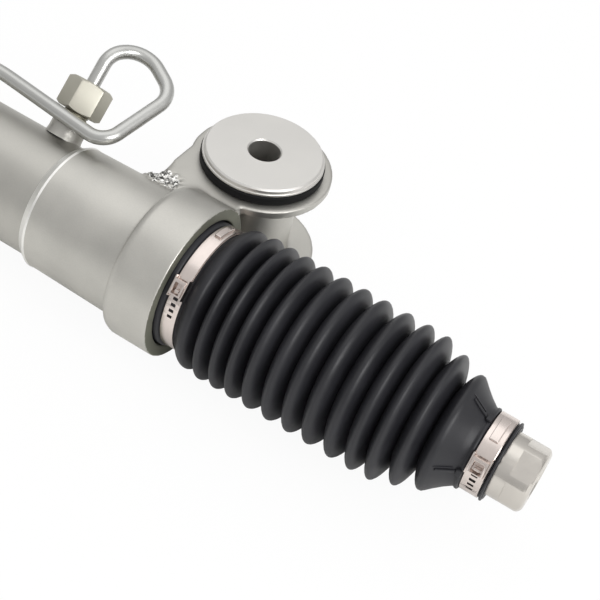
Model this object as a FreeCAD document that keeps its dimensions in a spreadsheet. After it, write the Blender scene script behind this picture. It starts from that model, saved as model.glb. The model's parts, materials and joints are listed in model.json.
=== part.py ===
import FreeCAD, Part
import Sketcher
import math
import os

# Hydraulic steering rack with its two inner tie rods. Lengths are in millimetres.
# Origin: foot of the bolt hole in the end bushing. X runs along the rack, Z is up.
# Pieces on the rack axis are drawn with that axis at y = 0, z = 0 and then seated.

# Main sizes
BUSHING_OFFSET = 62
BUSHING_SPACING = 585
GEAR_COLLAR_FACE = 65
COLLAR_RADIUS = 36.5
COLLAR_LENGTH = 24
BARREL_RADIUS = 31
BARREL_LENGTH = 59
END_BARREL = 50
TUBE_RADIUS = 27.5
TUBE_LENGTH = 291
RACK_RADIUS = 14
TOWER_RADIUS = 21
VALVE_TOP = 90
INPUT_TOP = 130
BOSS_RADIUS = 20
ARM_WIDTH = 40
LOBE_RADIUS = 34.5
END_RADIUS = 14.7
END_FACE = 169
PIPE_RADIUS = 3.3
NUT_ACROSS = 19

doc = FreeCAD.newDocument("steering_rack")
sheet = doc.addObject("Spreadsheet::Sheet", "dims")


class Size:
    """A number together with the sheet formula that gives it."""

    def __init__(self, value, formula):
        self.value = value
        self.formula = formula

    def join(self, other, sign, value):
        return Size(value, "(" + self.formula + " " + sign + " " + formula_of(other) + ")")

    def __add__(self, other):
        return self.join(other, "+", self.value + value_of(other))

    def __sub__(self, other):
        return self.join(other, "-", self.value - value_of(other))

    def __mul__(self, other):
        return self.join(other, "*", self.value * value_of(other))

    def __truediv__(self, other):
        return self.join(other, "/", self.value / value_of(other))

    def __radd__(self, other):
        return self + other

    def __rmul__(self, other):
        return self * other

    def __rsub__(self, other):
        return -self + other

    def __neg__(self):
        return self * -1


def value_of(number):
    return number.value if isinstance(number, Size) else float(number)


def formula_of(number):
    return number.formula if isinstance(number, Size) else "(" + repr(float(number)) + ")"


class Dims:
    """Driving dimensions, one row of the sheet each."""


D = Dims()


def dimension_rows(rows):
    for name, number, note in rows:
        dimension_rows.count += 1
        row = str(dimension_rows.count)
        sheet.set("A" + row, note)
        sheet.set("B" + row, str(number))
        sheet.setAlias("B" + row, name)
        setattr(D, name, Size(float(number), "dims." + name))


dimension_rows.count = 0

dimension_rows([
    ("collar_face", 9, "end collar face past the end bushing axis"),
    ("gear_collar_face", GEAR_COLLAR_FACE, "gear collar face past the gear bushing axis"),
    ("bushing_offset", BUSHING_OFFSET, "rack axis to the bushing axes"),
    ("bushing_spacing", BUSHING_SPACING, "between the two mounting bolts"),
    ("collar_radius", COLLAR_RADIUS, "collar, outside"),
    ("collar_length", COLLAR_LENGTH, "collar, along the rack"),
    ("collar_round", 3.5, "rounding of the collar's shoulder"),
    ("recess_radius", 31, "recess round the boot seat"),
    ("recess_depth", 6, "recess round the boot seat"),
    ("spigot_radius", 25.5, "boot seat, outside"),
    ("spigot_length", 9, "boot seat past the collar face"),
    ("chamber_radius", 22.5, "bore that takes the tie rod socket"),
    ("barrel_radius", BARREL_RADIUS, "barrel of each casting beside the collar"),
    ("barrel_draft", 1, "how much the barrel narrows"),
    ("barrel_length", BARREL_LENGTH, "gear casting's barrel"),
    ("end_barrel", END_BARREL, "end casting's barrel"),
    ("barrel_chamfer", 2.4, "bright step at the barrel's end"),
    ("casting_wall", 10, "wall round the rack tunnel"),
    ("fit", 0.05, "clearance of a seated round piece"),
    ("slip", 0.06, "clearance of a sliding or turning fit"),
])
dimension_rows([
    ("tube_radius", TUBE_RADIUS, "cylinder tube, outside"),
    ("tube_wall", 3, "cylinder tube"),
    ("tube_inset", 36, "tube's end inside the collar face"),
    ("tube_length", TUBE_LENGTH, "cylinder tube"),
    ("socket_depth", 18, "tube's seat in the gear casting"),
    ("tunnel_radius", 16.5, "tunnel round the rack"),
    ("seal_radius", 22, "rack seals, outside"),
    ("seal_length", 9, "rack seals"),
    ("bush_length", 9, "rack bush"),
    ("stop_inset", 14.5, "retaining ring's face inside the collar face"),
    ("ring_thickness", 1.5, "retaining ring"),
    ("ring_bite", 1.5, "retaining ring's groove depth"),
    ("web_thickness", 2, "web between tube and seal"),
    ("rack_radius", RACK_RADIUS, "rack bar"),
    ("piston_length", 20, "piston"),
    ("piston_shift", 145, "piston from the middle, towards the end casting"),
    ("ring_width", 4, "piston ring"),
    ("ring_height", 3, "piston ring"),
])
dimension_rows([
    ("gear_module", 1.75, "teeth"),
    ("pinion_teeth", 9, "teeth on the pinion"),
    ("rack_teeth", 34, "tooth spaces in the rack"),
    ("rack_addendum", 1.3, "rack tooth above the pitch line"),
    ("pinion_addendum", 1.7, "pinion tooth above the pitch circle"),
    ("tooth_root", 2.2, "depth below the pitch line"),
    ("backlash", 0.32, "play between rack and pinion teeth"),
    ("pressure_angle", 25, "tooth flank angle, degrees"),
    ("pitch_line", 7.5, "rack axis to pitch line"),
    ("face_width", 27, "pinion teeth along the pinion"),
    ("pinion_shift", 179.5, "pinion from the middle, away from the end casting"),
])
dimension_rows([
    ("tower_radius", TOWER_RADIUS, "pinion tower"),
    ("tower_foot", 34, "pinion tower below the rack axis"),
    ("tower_top", 28, "joint of the valve housing above the rack axis"),
    ("flange_radius", 33, "valve housing's flange"),
    ("flange_thickness", 7, "each flange of the valve joint"),
    ("bolt_circle", 27.5, "valve housing's bolts"),
    ("bolt_radius", 3, "valve housing's bolts"),
    ("valve_top", VALVE_TOP, "top of the valve housing above the rack axis"),
    ("valve_wall", 5, "valve housing"),
    ("valve_bore", 17, "valve housing's bore"),
    ("valve_low_port", 50, "lower valve ports above the rack axis"),
    ("valve_high_port", 73, "upper valve ports above the rack axis"),
    ("sleeve_length", 48, "valve sleeve"),
    ("sleeve_wall", 7, "valve sleeve"),
    ("journal_radius", 6, "pinion's lower journal"),
    ("bearing_radius", 14, "lower bearing, outside"),
    ("bearing_width", 8, "lower bearing"),
    ("upper_journal", 9.9, "pinion's upper journal"),
    ("upper_bearing", 14, "upper bearing, outside"),
    ("input_radius", 9.9, "input shaft in the valve sleeve"),
    ("input_top", INPUT_TOP, "end of the input shaft above the rack axis"),
    ("spline_radius", 8, "splined end"),
    ("spline_length", 22, "splined end"),
    ("spline_count", 18, "splines"),
    ("torsion_radius", 2.8, "torsion bar"),
    ("torsion_bore", 4.2, "bore round the torsion bar"),
])
dimension_rows([
    ("yoke_radius", 13, "rack yoke"),
    ("yoke_length", 16, "rack yoke behind the rack"),
    ("yoke_boss", 19, "yoke boss, outside"),
    ("yoke_boss_length", 52, "yoke boss from the rack axis"),
    ("spring_length", 9, "yoke spring"),
    ("spring_radius", 7, "yoke spring, to the middle of its wire"),
    ("wire_radius", 1.1, "yoke spring"),
    ("nut_radius", 19, "yoke locknut, outside"),
    ("nut_length", 6, "yoke locknut"),
])
dimension_rows([
    ("boss_radius", BOSS_RADIUS, "mounting boss"),
    ("boss_top", 25, "mounting boss above the rack axis"),
    ("boss_foot", 27, "mounting boss below the rack axis"),
    ("boss_flange", 33, "flanges of the mounting boss"),
    ("boss_rim", 4, "thickness of those flanges"),
    ("arm_thickness", 6, "arm's plates"),
    ("arm_web", 10, "arm's web"),
    ("arm_width", ARM_WIDTH, "arm along the rack"),
    ("eye_radius", 16, "bore for the bushing"),
    ("rubber_ring", 28.8, "bushing's rubber flange, radius"),
    ("rubber_rise", 4.6, "bushing's rubber flange, height"),
    ("washer_radius", 28.3, "bushing washers at the rim"),
    ("washer_face", 27, "flat face of the washers"),
    ("washer_thickness", 3.4, "bushing washers"),
    ("sleeve_radius", 11.5, "bushing's inner sleeve"),
    ("bolt_hole", 7.5, "bushing's bolt hole, radius"),
])
dimension_rows([
    ("boot_lip", 2.8, "wall of the boot's mouth"),
    ("lobe_first", 15.5, "first crest past the collar face"),
    ("lobe_pitch", 9.45, "between crests"),
    ("lobe_radius", LOBE_RADIUS, "crests"),
    ("valley_radius", 26, "valleys"),
    ("crest_flat", 2.2, "width of each crest"),
    ("boot_wall", 1.6, "boot"),
    ("neck_start", 141, "end of the boot's cone past the collar face"),
    ("neck_length", 13, "boot's neck on the tie rod"),
    ("neck_wall", 2.1, "boot's neck"),
    ("clamp_thickness", 0.8, "bands"),
    ("clamp_gap", 0.5, "large band past the collar face"),
    ("large_clamp_width", 8.5, "large band"),
    ("small_clamp_width", 7.5, "small band"),
    ("lock_height", 3.2, "band's lock above the band"),
    ("lock_width", 6.5, "band's lock along the band"),
    ("travel", 75, "rack each way"),
    ("stop_gap", 0.5, "left at full travel"),
    ("ball_centre", 91, "ball past the collar face"),
    ("ball_radius", 14, "tie rod ball"),
    ("liner_wall", 1.9, "socket liner"),
    ("socket_radius", 20, "tie rod socket, outside"),
    ("socket_mouth", 9, "socket past the ball's centre"),
    ("lip_bevel", 3.5, "socket's rolled lip"),
    ("liner_back", 13, "liner behind the ball's centre"),
    ("neck_sink", 1.6, "ball's cap cut off by the neck"),
    ("liner_reach", 8, "liner past the ball's centre"),
    ("stud_radius", 8, "socket's thread in the rack"),
    ("stud_length", 22, "socket's thread in the rack"),
    ("neck_radius", 6.5, "tie rod beside the ball"),
    ("shank_radius", 8, "tie rod"),
    ("end_radius", END_RADIUS, "tie rod's female end"),
    ("end_start", 137, "start of the female end past the collar face"),
    ("end_face", END_FACE, "tie rod's end past the collar face"),
    ("flat_start", 161, "wrench flats past the collar face"),
    ("flats_across", 27, "wrench flats"),
    ("thread_radius", 7, "female thread"),
    ("thread_depth", 28, "female thread"),
])
dimension_rows([
    ("port_x", 80, "end port from the end bushing, along the rack"),
    ("port_radius", 8.4, "port bosses"),
    ("port_reach", 36, "port bosses from the rack axis"),
    ("pipe_radius", PIPE_RADIUS, "transfer pipes"),
    ("pipe_wall", 0.8, "transfer pipes"),
    ("nut_across", NUT_ACROSS, "flare nuts across the flats"),
    ("nut_hex_length", 15, "flare nuts"),
    ("nut_shank_radius", 6, "flare nuts' thread"),
    ("nut_shank_length", 10, "flare nuts' thread"),
    ("nut_stand", 4, "thread showing under a flare nut"),
])
doc.recompute()

LOBES = 13
PORT_LEAN = 45
LOCK_TURN = 30
FLANK_STEPS = 5
SPRING_TURNS = 3
half_length = (D.bushing_spacing + D.collar_face + D.gear_collar_face) / 2
middle_x = D.collar_face - half_length
pinion_x = middle_x - D.pinion_shift
pitch_radius = D.gear_module * D.pinion_teeth / 2
pinion_y = D.pitch_line + pitch_radius
far_bushing_x = -D.bushing_spacing
tube_end = D.collar_face - D.tube_inset
tube_start = tube_end - D.tube_length
tooth_pitch = Size(math.pi, "pi") * D.gear_module
end_port_x = -D.port_x
gear_port_x = tube_start + D.socket_depth + D.port_radius + 2
port_depth = D.nut_shank_length - D.nut_stand
piston_x = middle_x + D.piston_shift
socket_back = D.travel + D.stop_gap - D.stop_inset
bearing_bottom = -D.face_width / 2 - 1 - D.bearing_width
sleeve_bottom = D.tower_top + 3
valve_port_face = D.valve_bore + D.valve_wall + 8
pieces = []


def bind(thing, path, number):
    """Sets one property from a size and keeps the sheet's formula on it."""
    if isinstance(number, Size):
        thing.setExpression(path, number.formula)


def along(side, distance):
    """X of a point measured outwards from the collar face at one end of the housing."""
    return middle_x + side * (half_length + distance)


def seat(thing, label, x=0, y=0, z=0):
    """Labels a piece and moves it from the rack's own axes to the part's frame."""
    thing.Label = label
    place = (x, y - D.bushing_offset, z + D.collar_radius)
    thing.Placement.Base = FreeCAD.Vector(*[value_of(number) for number in place])
    for letter, number in zip("xyz", place):
        bind(thing, "Placement.Base." + letter, number)
    pieces.append(thing)
    return thing


def new_body(label, x=0, y=0, z=0):
    return seat(doc.addObject("PartDesign::Body", label), label, x, y, z)


def new_sketch(body, plane, shift=(0, 0, 0)):
    sketch = body.newObject("Sketcher::SketchObject", "sketch")
    role = [face for face in body.Origin.OriginFeatures if face.Role == plane][0]
    sketch.AttachmentSupport = [(role, "")]
    sketch.MapMode = "FlatFace"
    sketch.AttachmentOffset.Base = FreeCAD.Vector(*[value_of(number) for number in shift])
    for letter, number in zip("xyz", shift):
        bind(sketch, "AttachmentOffset.Base." + letter, number)
    return sketch


def hold_point(sketch, edge, end, x, y):
    """Fixes one point of a sketch by its two distances from the sketch's origin."""
    for kind, number in (("DistanceX", x), ("DistanceY", y)):
        rule = sketch.addConstraint(Sketcher.Constraint(kind, -1, 1, edge, end, value_of(number)))
        bind(sketch, "Constraints[" + str(rule) + "]", number)


def add_loop(sketch, points):
    """Adds a closed outline of straight edges to a sketch."""
    spots = [FreeCAD.Vector(value_of(x), value_of(y), 0) for x, y in points]
    first = sketch.GeometryCount
    count = len(points)
    for index in range(count):
        sketch.addGeometry(Part.LineSegment(spots[index], spots[(index + 1) % count]))
    for index in range(count):
        following = first + (index + 1) % count
        sketch.addConstraint(Sketcher.Constraint("Coincident", first + index, 2, following, 1))
    for index, (x, y) in enumerate(points):
        hold_point(sketch, first + index, 1, x, y)


def add_ball(sketch, centre, radius, start, end):
    """Adds the arc of a sphere's outline from one x to another, over the rack axis."""
    reach = value_of(radius)
    middle = value_of(centre)
    turns = [math.acos(max(-1, min(1, (value_of(x) - middle) / reach))) for x in (end, start)]
    ring = Part.Circle(FreeCAD.Vector(middle, 0, 0), FreeCAD.Vector(0, 0, 1), reach)
    backwards = turns[0] > turns[1]
    if backwards:
        turns.reverse()
    arc = sketch.addGeometry(Part.ArcOfCircle(ring, turns[0], turns[1]))
    hold_point(sketch, arc, 3, centre, 0)
    rule = sketch.addConstraint(Sketcher.Constraint("Radius", arc, reach))
    bind(sketch, "Constraints[" + str(rule) + "]", radius)
    ends = (start, end) if backwards else (end, start)
    for place, x in zip((1, 2), ends):
        on_axis = abs(abs(value_of(x) - middle) - reach) < 1e-6
        kind = "DistanceY" if on_axis else "DistanceX"
        number = 0 if on_axis else x
        rule = sketch.addConstraint(Sketcher.Constraint(kind, -1, 1, arc, place, value_of(number)))
        bind(sketch, "Constraints[" + str(rule) + "]", number)
    return (arc, 1, 2) if backwards else (arc, 2, 1)


def ball_height(radius, along_axis):
    """Height of a sphere's outline at a distance from its centre."""
    return math.sqrt(max(0, value_of(radius) ** 2 - value_of(along_axis) ** 2))


def add_chain(sketch, points, start, end):
    """Adds straight edges through held points, between the ends of two arcs."""
    spots = [FreeCAD.Vector(value_of(x), value_of(y), 0) for x, y in points]
    lines = [sketch.addGeometry(Part.LineSegment(a, b)) for a, b in zip(spots, spots[1:])]
    sketch.addConstraint(Sketcher.Constraint("Coincident", start[0], start[1], lines[0], 1))
    for index in range(1, len(lines)):
        sketch.addConstraint(Sketcher.Constraint("Coincident", lines[index - 1], 2, lines[index], 1))
        hold_point(sketch, lines[index], 1, *points[index])
    sketch.addConstraint(Sketcher.Constraint("Coincident", lines[-1], 2, end[0], end[1]))


def add_circle(sketch, x, y, radius):
    centre = FreeCAD.Vector(value_of(x), value_of(y), 0)
    normal = FreeCAD.Vector(0, 0, 1)
    ring = sketch.addGeometry(Part.Circle(centre, normal, value_of(radius)))
    hold_point(sketch, ring, 3, x, y)
    rule = sketch.addConstraint(Sketcher.Constraint("Radius", ring, value_of(radius)))
    bind(sketch, "Constraints[" + str(rule) + "]", radius)


def outline(body, plane, points, shift=(0, 0, 0)):
    sketch = new_sketch(body, plane, shift)
    add_loop(sketch, points)
    return sketch


def circles(body, plane, rings, shift=(0, 0, 0)):
    sketch = new_sketch(body, plane, shift)
    for x, y, radius in rings:
        add_circle(sketch, x, y, radius)
    return sketch


def turned(body, sketch, axis, cut=False):
    """Turns an outline round one axis of its sketch, to add or to cut."""
    kind = "PartDesign::Groove" if cut else "PartDesign::Revolution"
    feature = body.newObject(kind, "turned")
    feature.Profile = sketch
    feature.ReferenceAxis = (sketch, [axis])
    feature.Angle = 360
    return feature


def padded(body, sketch, length, cut=False, both_ways=False, backwards=False):
    """Extrudes an outline, to add or to cut."""
    kind = "PartDesign::Pocket" if cut else "PartDesign::Pad"
    feature = body.newObject(kind, "padded")
    feature.Profile = sketch
    feature.Length = value_of(length)
    bind(feature, "Length", length)
    feature.Midplane = both_ways
    feature.Reversed = backwards
    return feature


def lathe_x(body, points, cut=False):
    """Turns (x, radius) points round the rack axis."""
    return turned(body, outline(body, "XY_Plane", points), "H_Axis", cut)


def lathe_z(body, points, cut=False, x=0, y=0):
    """Turns (radius, z) points round an upright axis."""
    sketch = outline(body, "XZ_Plane", points, (x, 0, -y))
    return turned(body, sketch, "V_Axis", cut)


def polar(body, feature, axis_object, count):
    """Repeats a feature round an axis."""
    pattern = body.newObject("PartDesign::PolarPattern", "pattern")
    pattern.Originals = [feature]
    pattern.Axis = axis_object
    pattern.Angle = 360
    pattern.Occurrences = int(value_of(count))
    bind(pattern, "Occurrences", count)
    body.Tip = pattern
    return pattern


def origin_axis(body, role):
    return (
        [line for line in body.Origin.OriginFeatures if line.Role == role][0],
        [""],
    )


def hexagon_points(corner, turn=0):
    """Corners of a hexagon, given its corner radius."""
    angles = [math.radians(turn + 60 * index) for index in range(6)]
    return [(corner * math.cos(angle), corner * math.sin(angle)) for angle in angles]


def ring_piece(label, start, end, inner, outer):
    """A plain ring round the rack axis."""
    body = new_body(label)
    lathe_x(body, [(start, inner), (end, inner), (end, outer), (start, outer)])
    return body


def upright_ring(label, bottom, top, inner, outer):
    """A plain ring round the pinion axis."""
    body = new_body(label, pinion_x, pinion_y)
    lathe_z(body, [(inner, bottom), (outer, bottom), (outer, top), (inner, top)])
    return body


# Castings

def mounting_arm(body, x, arm_left, arm_right):
    """Boss with two flanges for a bushing, joined to the casting by two plates and a web."""
    offset = D.bushing_offset
    rise = D.boss_top + D.boss_foot
    boss = circles(body, "XY_Plane", [(x, offset, D.boss_radius)], (0, 0, -D.boss_foot))
    padded(body, boss, rise)
    for level in (-D.boss_foot, D.boss_top - D.boss_rim):
        rim = circles(body, "XY_Plane", [(x, offset, D.boss_flange)], (0, 0, level))
        padded(body, rim, D.boss_rim)
    root = D.barrel_radius / 2
    plate = [(arm_left, root), (arm_right, root), (arm_right, offset), (arm_left, offset)]
    for level in (-D.boss_foot, D.boss_top - D.arm_thickness):
        padded(body, outline(body, "XY_Plane", plate, (0, 0, level)), D.arm_thickness)
    middle = (arm_left + arm_right) / 2
    web = [
        (middle - D.arm_web / 2, root),
        (middle + D.arm_web / 2, root),
        (middle + D.arm_web / 2, offset),
        (middle - D.arm_web / 2, offset),
    ]
    padded(body, outline(body, "XY_Plane", web, (0, 0, -D.boss_foot)), rise)


def eye(body, x):
    """Bore of a mounting boss."""
    hole = circles(body, "XY_Plane", [(x, D.bushing_offset, D.eye_radius)], (0, 0, -D.boss_foot))
    padded(body, hole, D.boss_top + D.boss_foot, cut=True, backwards=True)


def collar_outline(side, root_radius):
    """Outside of a casting's collar and boot seat, from the barrel to the axis."""
    start = -D.collar_length
    return [
        (along(side, start), root_radius),
        (along(side, start), D.collar_radius - D.collar_round),
        (along(side, start + D.collar_round * 0.3), D.collar_radius - D.collar_round * 0.3),
        (along(side, start + D.collar_round), D.collar_radius),
        (along(side, 0), D.collar_radius),
        (along(side, 0), D.spigot_radius),
        (along(side, D.spigot_length), D.spigot_radius),
        (along(side, D.spigot_length), 0),
    ]


def boot_recess(body, side):
    recess = [
        (along(side, -D.recess_depth), D.spigot_radius),
        (along(side, 1), D.spigot_radius),
        (along(side, 1), D.recess_radius),
        (along(side, -D.recess_depth), D.recess_radius),
    ]
    lathe_x(body, recess, cut=True)


def make_end_housing():
    body = new_body("end_housing")
    step = along(1, -D.collar_length - D.end_barrel)
    small = D.barrel_radius - D.barrel_draft
    outside = [
        (step, 0),
        (step, D.tube_radius + 0.8),
        (step + D.barrel_chamfer, small),
    ] + collar_outline(1, D.barrel_radius)
    lathe_x(body, outside)
    right = D.collar_face
    mounting_arm(body, 0, right - D.arm_width, right)
    ring_face = along(1, -D.stop_inset)
    seal_end = ring_face - D.ring_thickness - D.bush_length - D.seal_length
    bores = [
        (step - 1, 0),
        (step - 1, D.tube_radius + D.fit),
        (tube_end + D.fit, D.tube_radius + D.fit),
        (tube_end + D.fit, D.rack_radius + D.ring_height),
        (seal_end, D.rack_radius + D.ring_height),
        (seal_end, D.seal_radius + D.fit),
        (ring_face - D.ring_thickness, D.seal_radius + D.fit),
        (ring_face - D.ring_thickness, D.chamber_radius + D.ring_bite),
        (ring_face + D.fit, D.chamber_radius + D.ring_bite),
        (ring_face + D.fit, D.chamber_radius),
        (along(1, D.spigot_length + 1), D.chamber_radius),
        (along(1, D.spigot_length + 1), 0),
    ]
    lathe_x(body, bores, cut=True)
    boot_recess(body, 1)
    eye(body, 0)


def make_gear_housing():
    body = new_body("gear_housing")
    slim = D.tunnel_radius + D.casting_wall
    socket_face = tube_start + D.socket_depth
    outside = [(x, r) for x, r in reversed(collar_outline(-1, D.barrel_radius))]
    taper = along(-1, -D.collar_length - D.barrel_length)
    outside += [
        (taper, D.barrel_radius - D.barrel_draft),
        (taper + D.barrel_chamfer, slim),
        (tube_start - D.socket_depth - D.barrel_chamfer, slim),
        (tube_start - D.socket_depth, D.barrel_radius - D.barrel_draft),
        (socket_face - D.barrel_chamfer, D.barrel_radius - D.barrel_draft),
        (socket_face, D.tube_radius + 0.8),
        (socket_face, 0),
    ]
    lathe_x(body, outside)
    half_arm = D.arm_width / 2
    mounting_arm(body, far_bushing_x, far_bushing_x - half_arm, far_bushing_x + half_arm)
    tower = circles(body, "XY_Plane", [(pinion_x, pinion_y, D.tower_radius)], (0, 0, -D.tower_foot))
    padded(body, tower, D.tower_foot + D.tower_top)
    flange = circles(
        body,
        "XY_Plane",
        [(pinion_x, pinion_y, D.flange_radius)],
        (0, 0, D.tower_top - D.flange_thickness),
    )
    padded(body, flange, D.flange_thickness)
    boss = circles(body, "XZ_Plane", [(pinion_x, 0, D.yoke_boss)])
    padded(body, boss, D.yoke_boss_length)
    bores = [
        (along(-1, D.spigot_length + 1), 0),
        (along(-1, D.spigot_length + 1), D.chamber_radius),
        (along(-1, -D.stop_inset), D.chamber_radius),
        (along(-1, -D.stop_inset), D.tunnel_radius),
        (tube_start - D.seal_length - D.web_thickness, D.tunnel_radius),
        (tube_start - D.seal_length - D.web_thickness, D.seal_radius + D.fit),
        (tube_start - D.fit, D.seal_radius + D.fit),
        (tube_start - D.fit, D.tube_radius + D.fit),
        (socket_face + 1, D.tube_radius + D.fit),
        (socket_face + 1, 0),
    ]
    lathe_x(body, bores, cut=True)
    boot_recess(body, -1)
    eye(body, far_bushing_x)
    half_face = D.face_width / 2
    tooth_room = pitch_radius + D.pinion_addendum + 1
    pinion_room = [
        (0, -D.tower_foot - 1),
        (D.bearing_radius + D.fit, -D.tower_foot - 1),
        (D.bearing_radius + D.fit, -half_face - 1),
        (tooth_room, -half_face - 1),
        (tooth_room, half_face + 1 - D.fit),
        (D.upper_bearing + D.fit, half_face + 1 - D.fit),
        (D.upper_bearing + D.fit, D.tower_top + 1),
        (0, D.tower_top + 1),
    ]
    lathe_z(body, pinion_room, cut=True, x=pinion_x, y=pinion_y)
    yoke_hole = circles(body, "XZ_Plane", [(pinion_x, 0, D.yoke_radius + D.slip)])
    padded(body, yoke_hole, D.yoke_boss_length, cut=True, backwards=True)
    hole = D.bolt_radius + D.fit
    for x, y in valve_bolt_places():
        foot = (0, 0, D.tower_top - D.flange_thickness)
        bolt = circles(body, "XY_Plane", [(pinion_x + x, pinion_y + y, hole)], foot)
        padded(body, bolt, D.flange_thickness, cut=True, backwards=True)


# Cylinder, piston and rack

def make_cylinder_tube():
    body = new_body("cylinder_tube")
    body.Placement.Rotation = FreeCAD.Rotation(FreeCAD.Vector(1, 0, 0), -PORT_LEAN)
    bore = D.tube_radius - D.tube_wall
    lathe_x(body, [
        (tube_start, bore),
        (tube_end, bore),
        (tube_end, D.tube_radius),
        (tube_start, D.tube_radius),
    ])
    for x in (end_port_x, gear_port_x):
        hole = circles(body, "XY_Plane", [(x, 0, D.pipe_radius - D.pipe_wall)])
        padded(body, hole, D.tube_radius + 1, cut=True, backwards=True)


def make_port_bosses():
    """Threaded bosses brazed on the tube, leaning back from the upright."""
    for label, x in (("end_port_boss", end_port_x), ("gear_port_boss", gear_port_x)):
        body = new_body(label, x)
        body.Placement.Rotation = FreeCAD.Rotation(FreeCAD.Vector(1, 0, 0), -PORT_LEAN)
        lathe_z(body, [
            (D.pipe_radius - D.pipe_wall, D.tube_radius - D.tube_wall),
            (D.port_radius, D.tube_radius - D.tube_wall),
            (D.port_radius, D.port_reach),
            (D.nut_shank_radius + D.fit, D.port_reach),
            (D.nut_shank_radius + D.fit, D.port_reach - port_depth),
            (D.pipe_radius - D.pipe_wall, D.port_reach - port_depth),
        ])
        reach = D.port_radius + 1
        lathe_x(body, [
            (-reach, 0),
            (-reach, D.tube_radius + D.fit),
            (reach, D.tube_radius + D.fit),
            (reach, 0),
        ], cut=True)


def make_rack_bar():
    body = new_body("rack_bar")
    left = along(-1, socket_back)
    right = along(1, socket_back)
    bore = D.stud_radius + D.fit
    depth = D.stud_length + 2
    groove = D.ring_height * 0.4
    piston_start = piston_x - D.piston_length / 2 - D.fit
    piston_end = piston_x + D.piston_length / 2 + D.fit
    lathe_x(body, [
        (left + depth, 0),
        (left + depth, bore),
        (left, bore),
        (left, D.rack_radius - 1),
        (left + 1, D.rack_radius),
        (piston_start, D.rack_radius),
        (piston_start, D.rack_radius - groove),
        (piston_end, D.rack_radius - groove),
        (piston_end, D.rack_radius),
        (right - 1, D.rack_radius),
        (right, D.rack_radius - 1),
        (right, bore),
        (right - depth, bore),
        (right - depth, 0),
    ])
    span = tooth_pitch * (D.rack_teeth + 1) / 2
    tip = D.pitch_line + D.rack_addendum
    flat = [
        (pinion_x - span, tip),
        (pinion_x + span, tip),
        (pinion_x + span, D.rack_radius + 1),
        (pinion_x - span, D.rack_radius + 1),
    ]
    padded(body, outline(body, "XY_Plane", flat), D.rack_radius * 2, cut=True, both_ways=True)
    slope = Size(math.tan(math.radians(D.pressure_angle.value)), "tan(dims.pressure_angle)")
    half_space = tooth_pitch / 4 + D.backlash / 4
    first = pinion_x - tooth_pitch * (D.rack_teeth / 2)
    top = D.rack_addendum + 0.5
    space = [
        (first - half_space - slope * top, D.pitch_line + top),
        (first - half_space + slope * D.tooth_root, D.pitch_line - D.tooth_root),
        (first + half_space - slope * D.tooth_root, D.pitch_line - D.tooth_root),
        (first + half_space + slope * top, D.pitch_line + top),
    ]
    cut = padded(body, outline(body, "XY_Plane", space), D.rack_radius * 2, cut=True, both_ways=True)
    row = body.newObject("PartDesign::LinearPattern", "teeth")
    row.Originals = [cut]
    row.Direction = origin_axis(body, "X_Axis")
    row.Length = value_of(tooth_pitch * (D.rack_teeth - 1))
    bind(row, "Length", tooth_pitch * (D.rack_teeth - 1))
    row.Occurrences = int(D.rack_teeth.value)
    bind(row, "Occurrences", D.rack_teeth)
    body.Tip = row


def make_piston():
    groove = D.ring_height * 0.4
    half = D.piston_length / 2
    outer = D.tube_radius - D.tube_wall - D.slip
    body = new_body("piston", piston_x)
    lathe_x(body, [
        (-half, D.rack_radius - groove + D.fit),
        (half, D.rack_radius - groove + D.fit),
        (half, outer - 1),
        (half - 1, outer),
        (D.ring_width / 2, outer),
        (D.ring_width / 2, outer - D.ring_height),
        (-D.ring_width / 2, outer - D.ring_height),
        (-D.ring_width / 2, outer),
        (1 - half, outer),
        (-half, outer - 1),
    ])
    half = D.ring_width / 2 - D.fit
    ring_piece("piston_ring", piston_x - half, piston_x + half, outer - D.ring_height + D.fit, outer)


def make_seals():
    ring_face = along(1, -D.stop_inset)
    bush_end = ring_face - D.ring_thickness
    bush_start = bush_end - D.bush_length
    bore = D.rack_radius + D.slip
    ring_piece("outer_rack_seal", bush_start - D.seal_length, bush_start, bore, D.seal_radius)
    ring_piece("rack_bush", bush_start, bush_end, bore, D.seal_radius)
    bite = D.chamber_radius + D.ring_bite - D.fit
    ring_piece("retaining_ring", bush_end, ring_face, D.rack_radius + 3, bite)
    inner_end = tube_start - D.fit * 2
    ring_piece("inner_rack_seal", inner_end - D.seal_length + D.fit, inner_end, bore, D.seal_radius)


# Pinion and valve

def involute(angle):
    return math.tan(angle) - angle


def pinion_space():
    """Outline of one space between the pinion's teeth, centred on the sketch's X axis."""
    pitch = pitch_radius.value
    slope = math.radians(D.pressure_angle.value)
    base = pitch * math.cos(slope)
    teeth = D.pinion_teeth.value
    half_tooth = math.pi / (2 * teeth) - D.backlash.value / (4 * pitch)
    tip = pitch + D.pinion_addendum.value + 0.4
    upper = []
    for step in range(FLANK_STEPS + 1):
        radius = tip + (base - tip) * step / FLANK_STEPS
        rolled = involute(slope) - involute(math.acos(min(1, base / radius)))
        angle = math.pi / teeth - half_tooth - rolled
        upper.append((radius * math.cos(angle), radius * math.sin(angle)))
    angle = math.pi / teeth - half_tooth - involute(slope)
    root = pitch - D.tooth_root.value
    upper.append((root * math.cos(angle), root * math.sin(angle)))
    return upper + [(x, -y) for x, y in reversed(upper)] + [(tip * 1.15, 0)]


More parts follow.
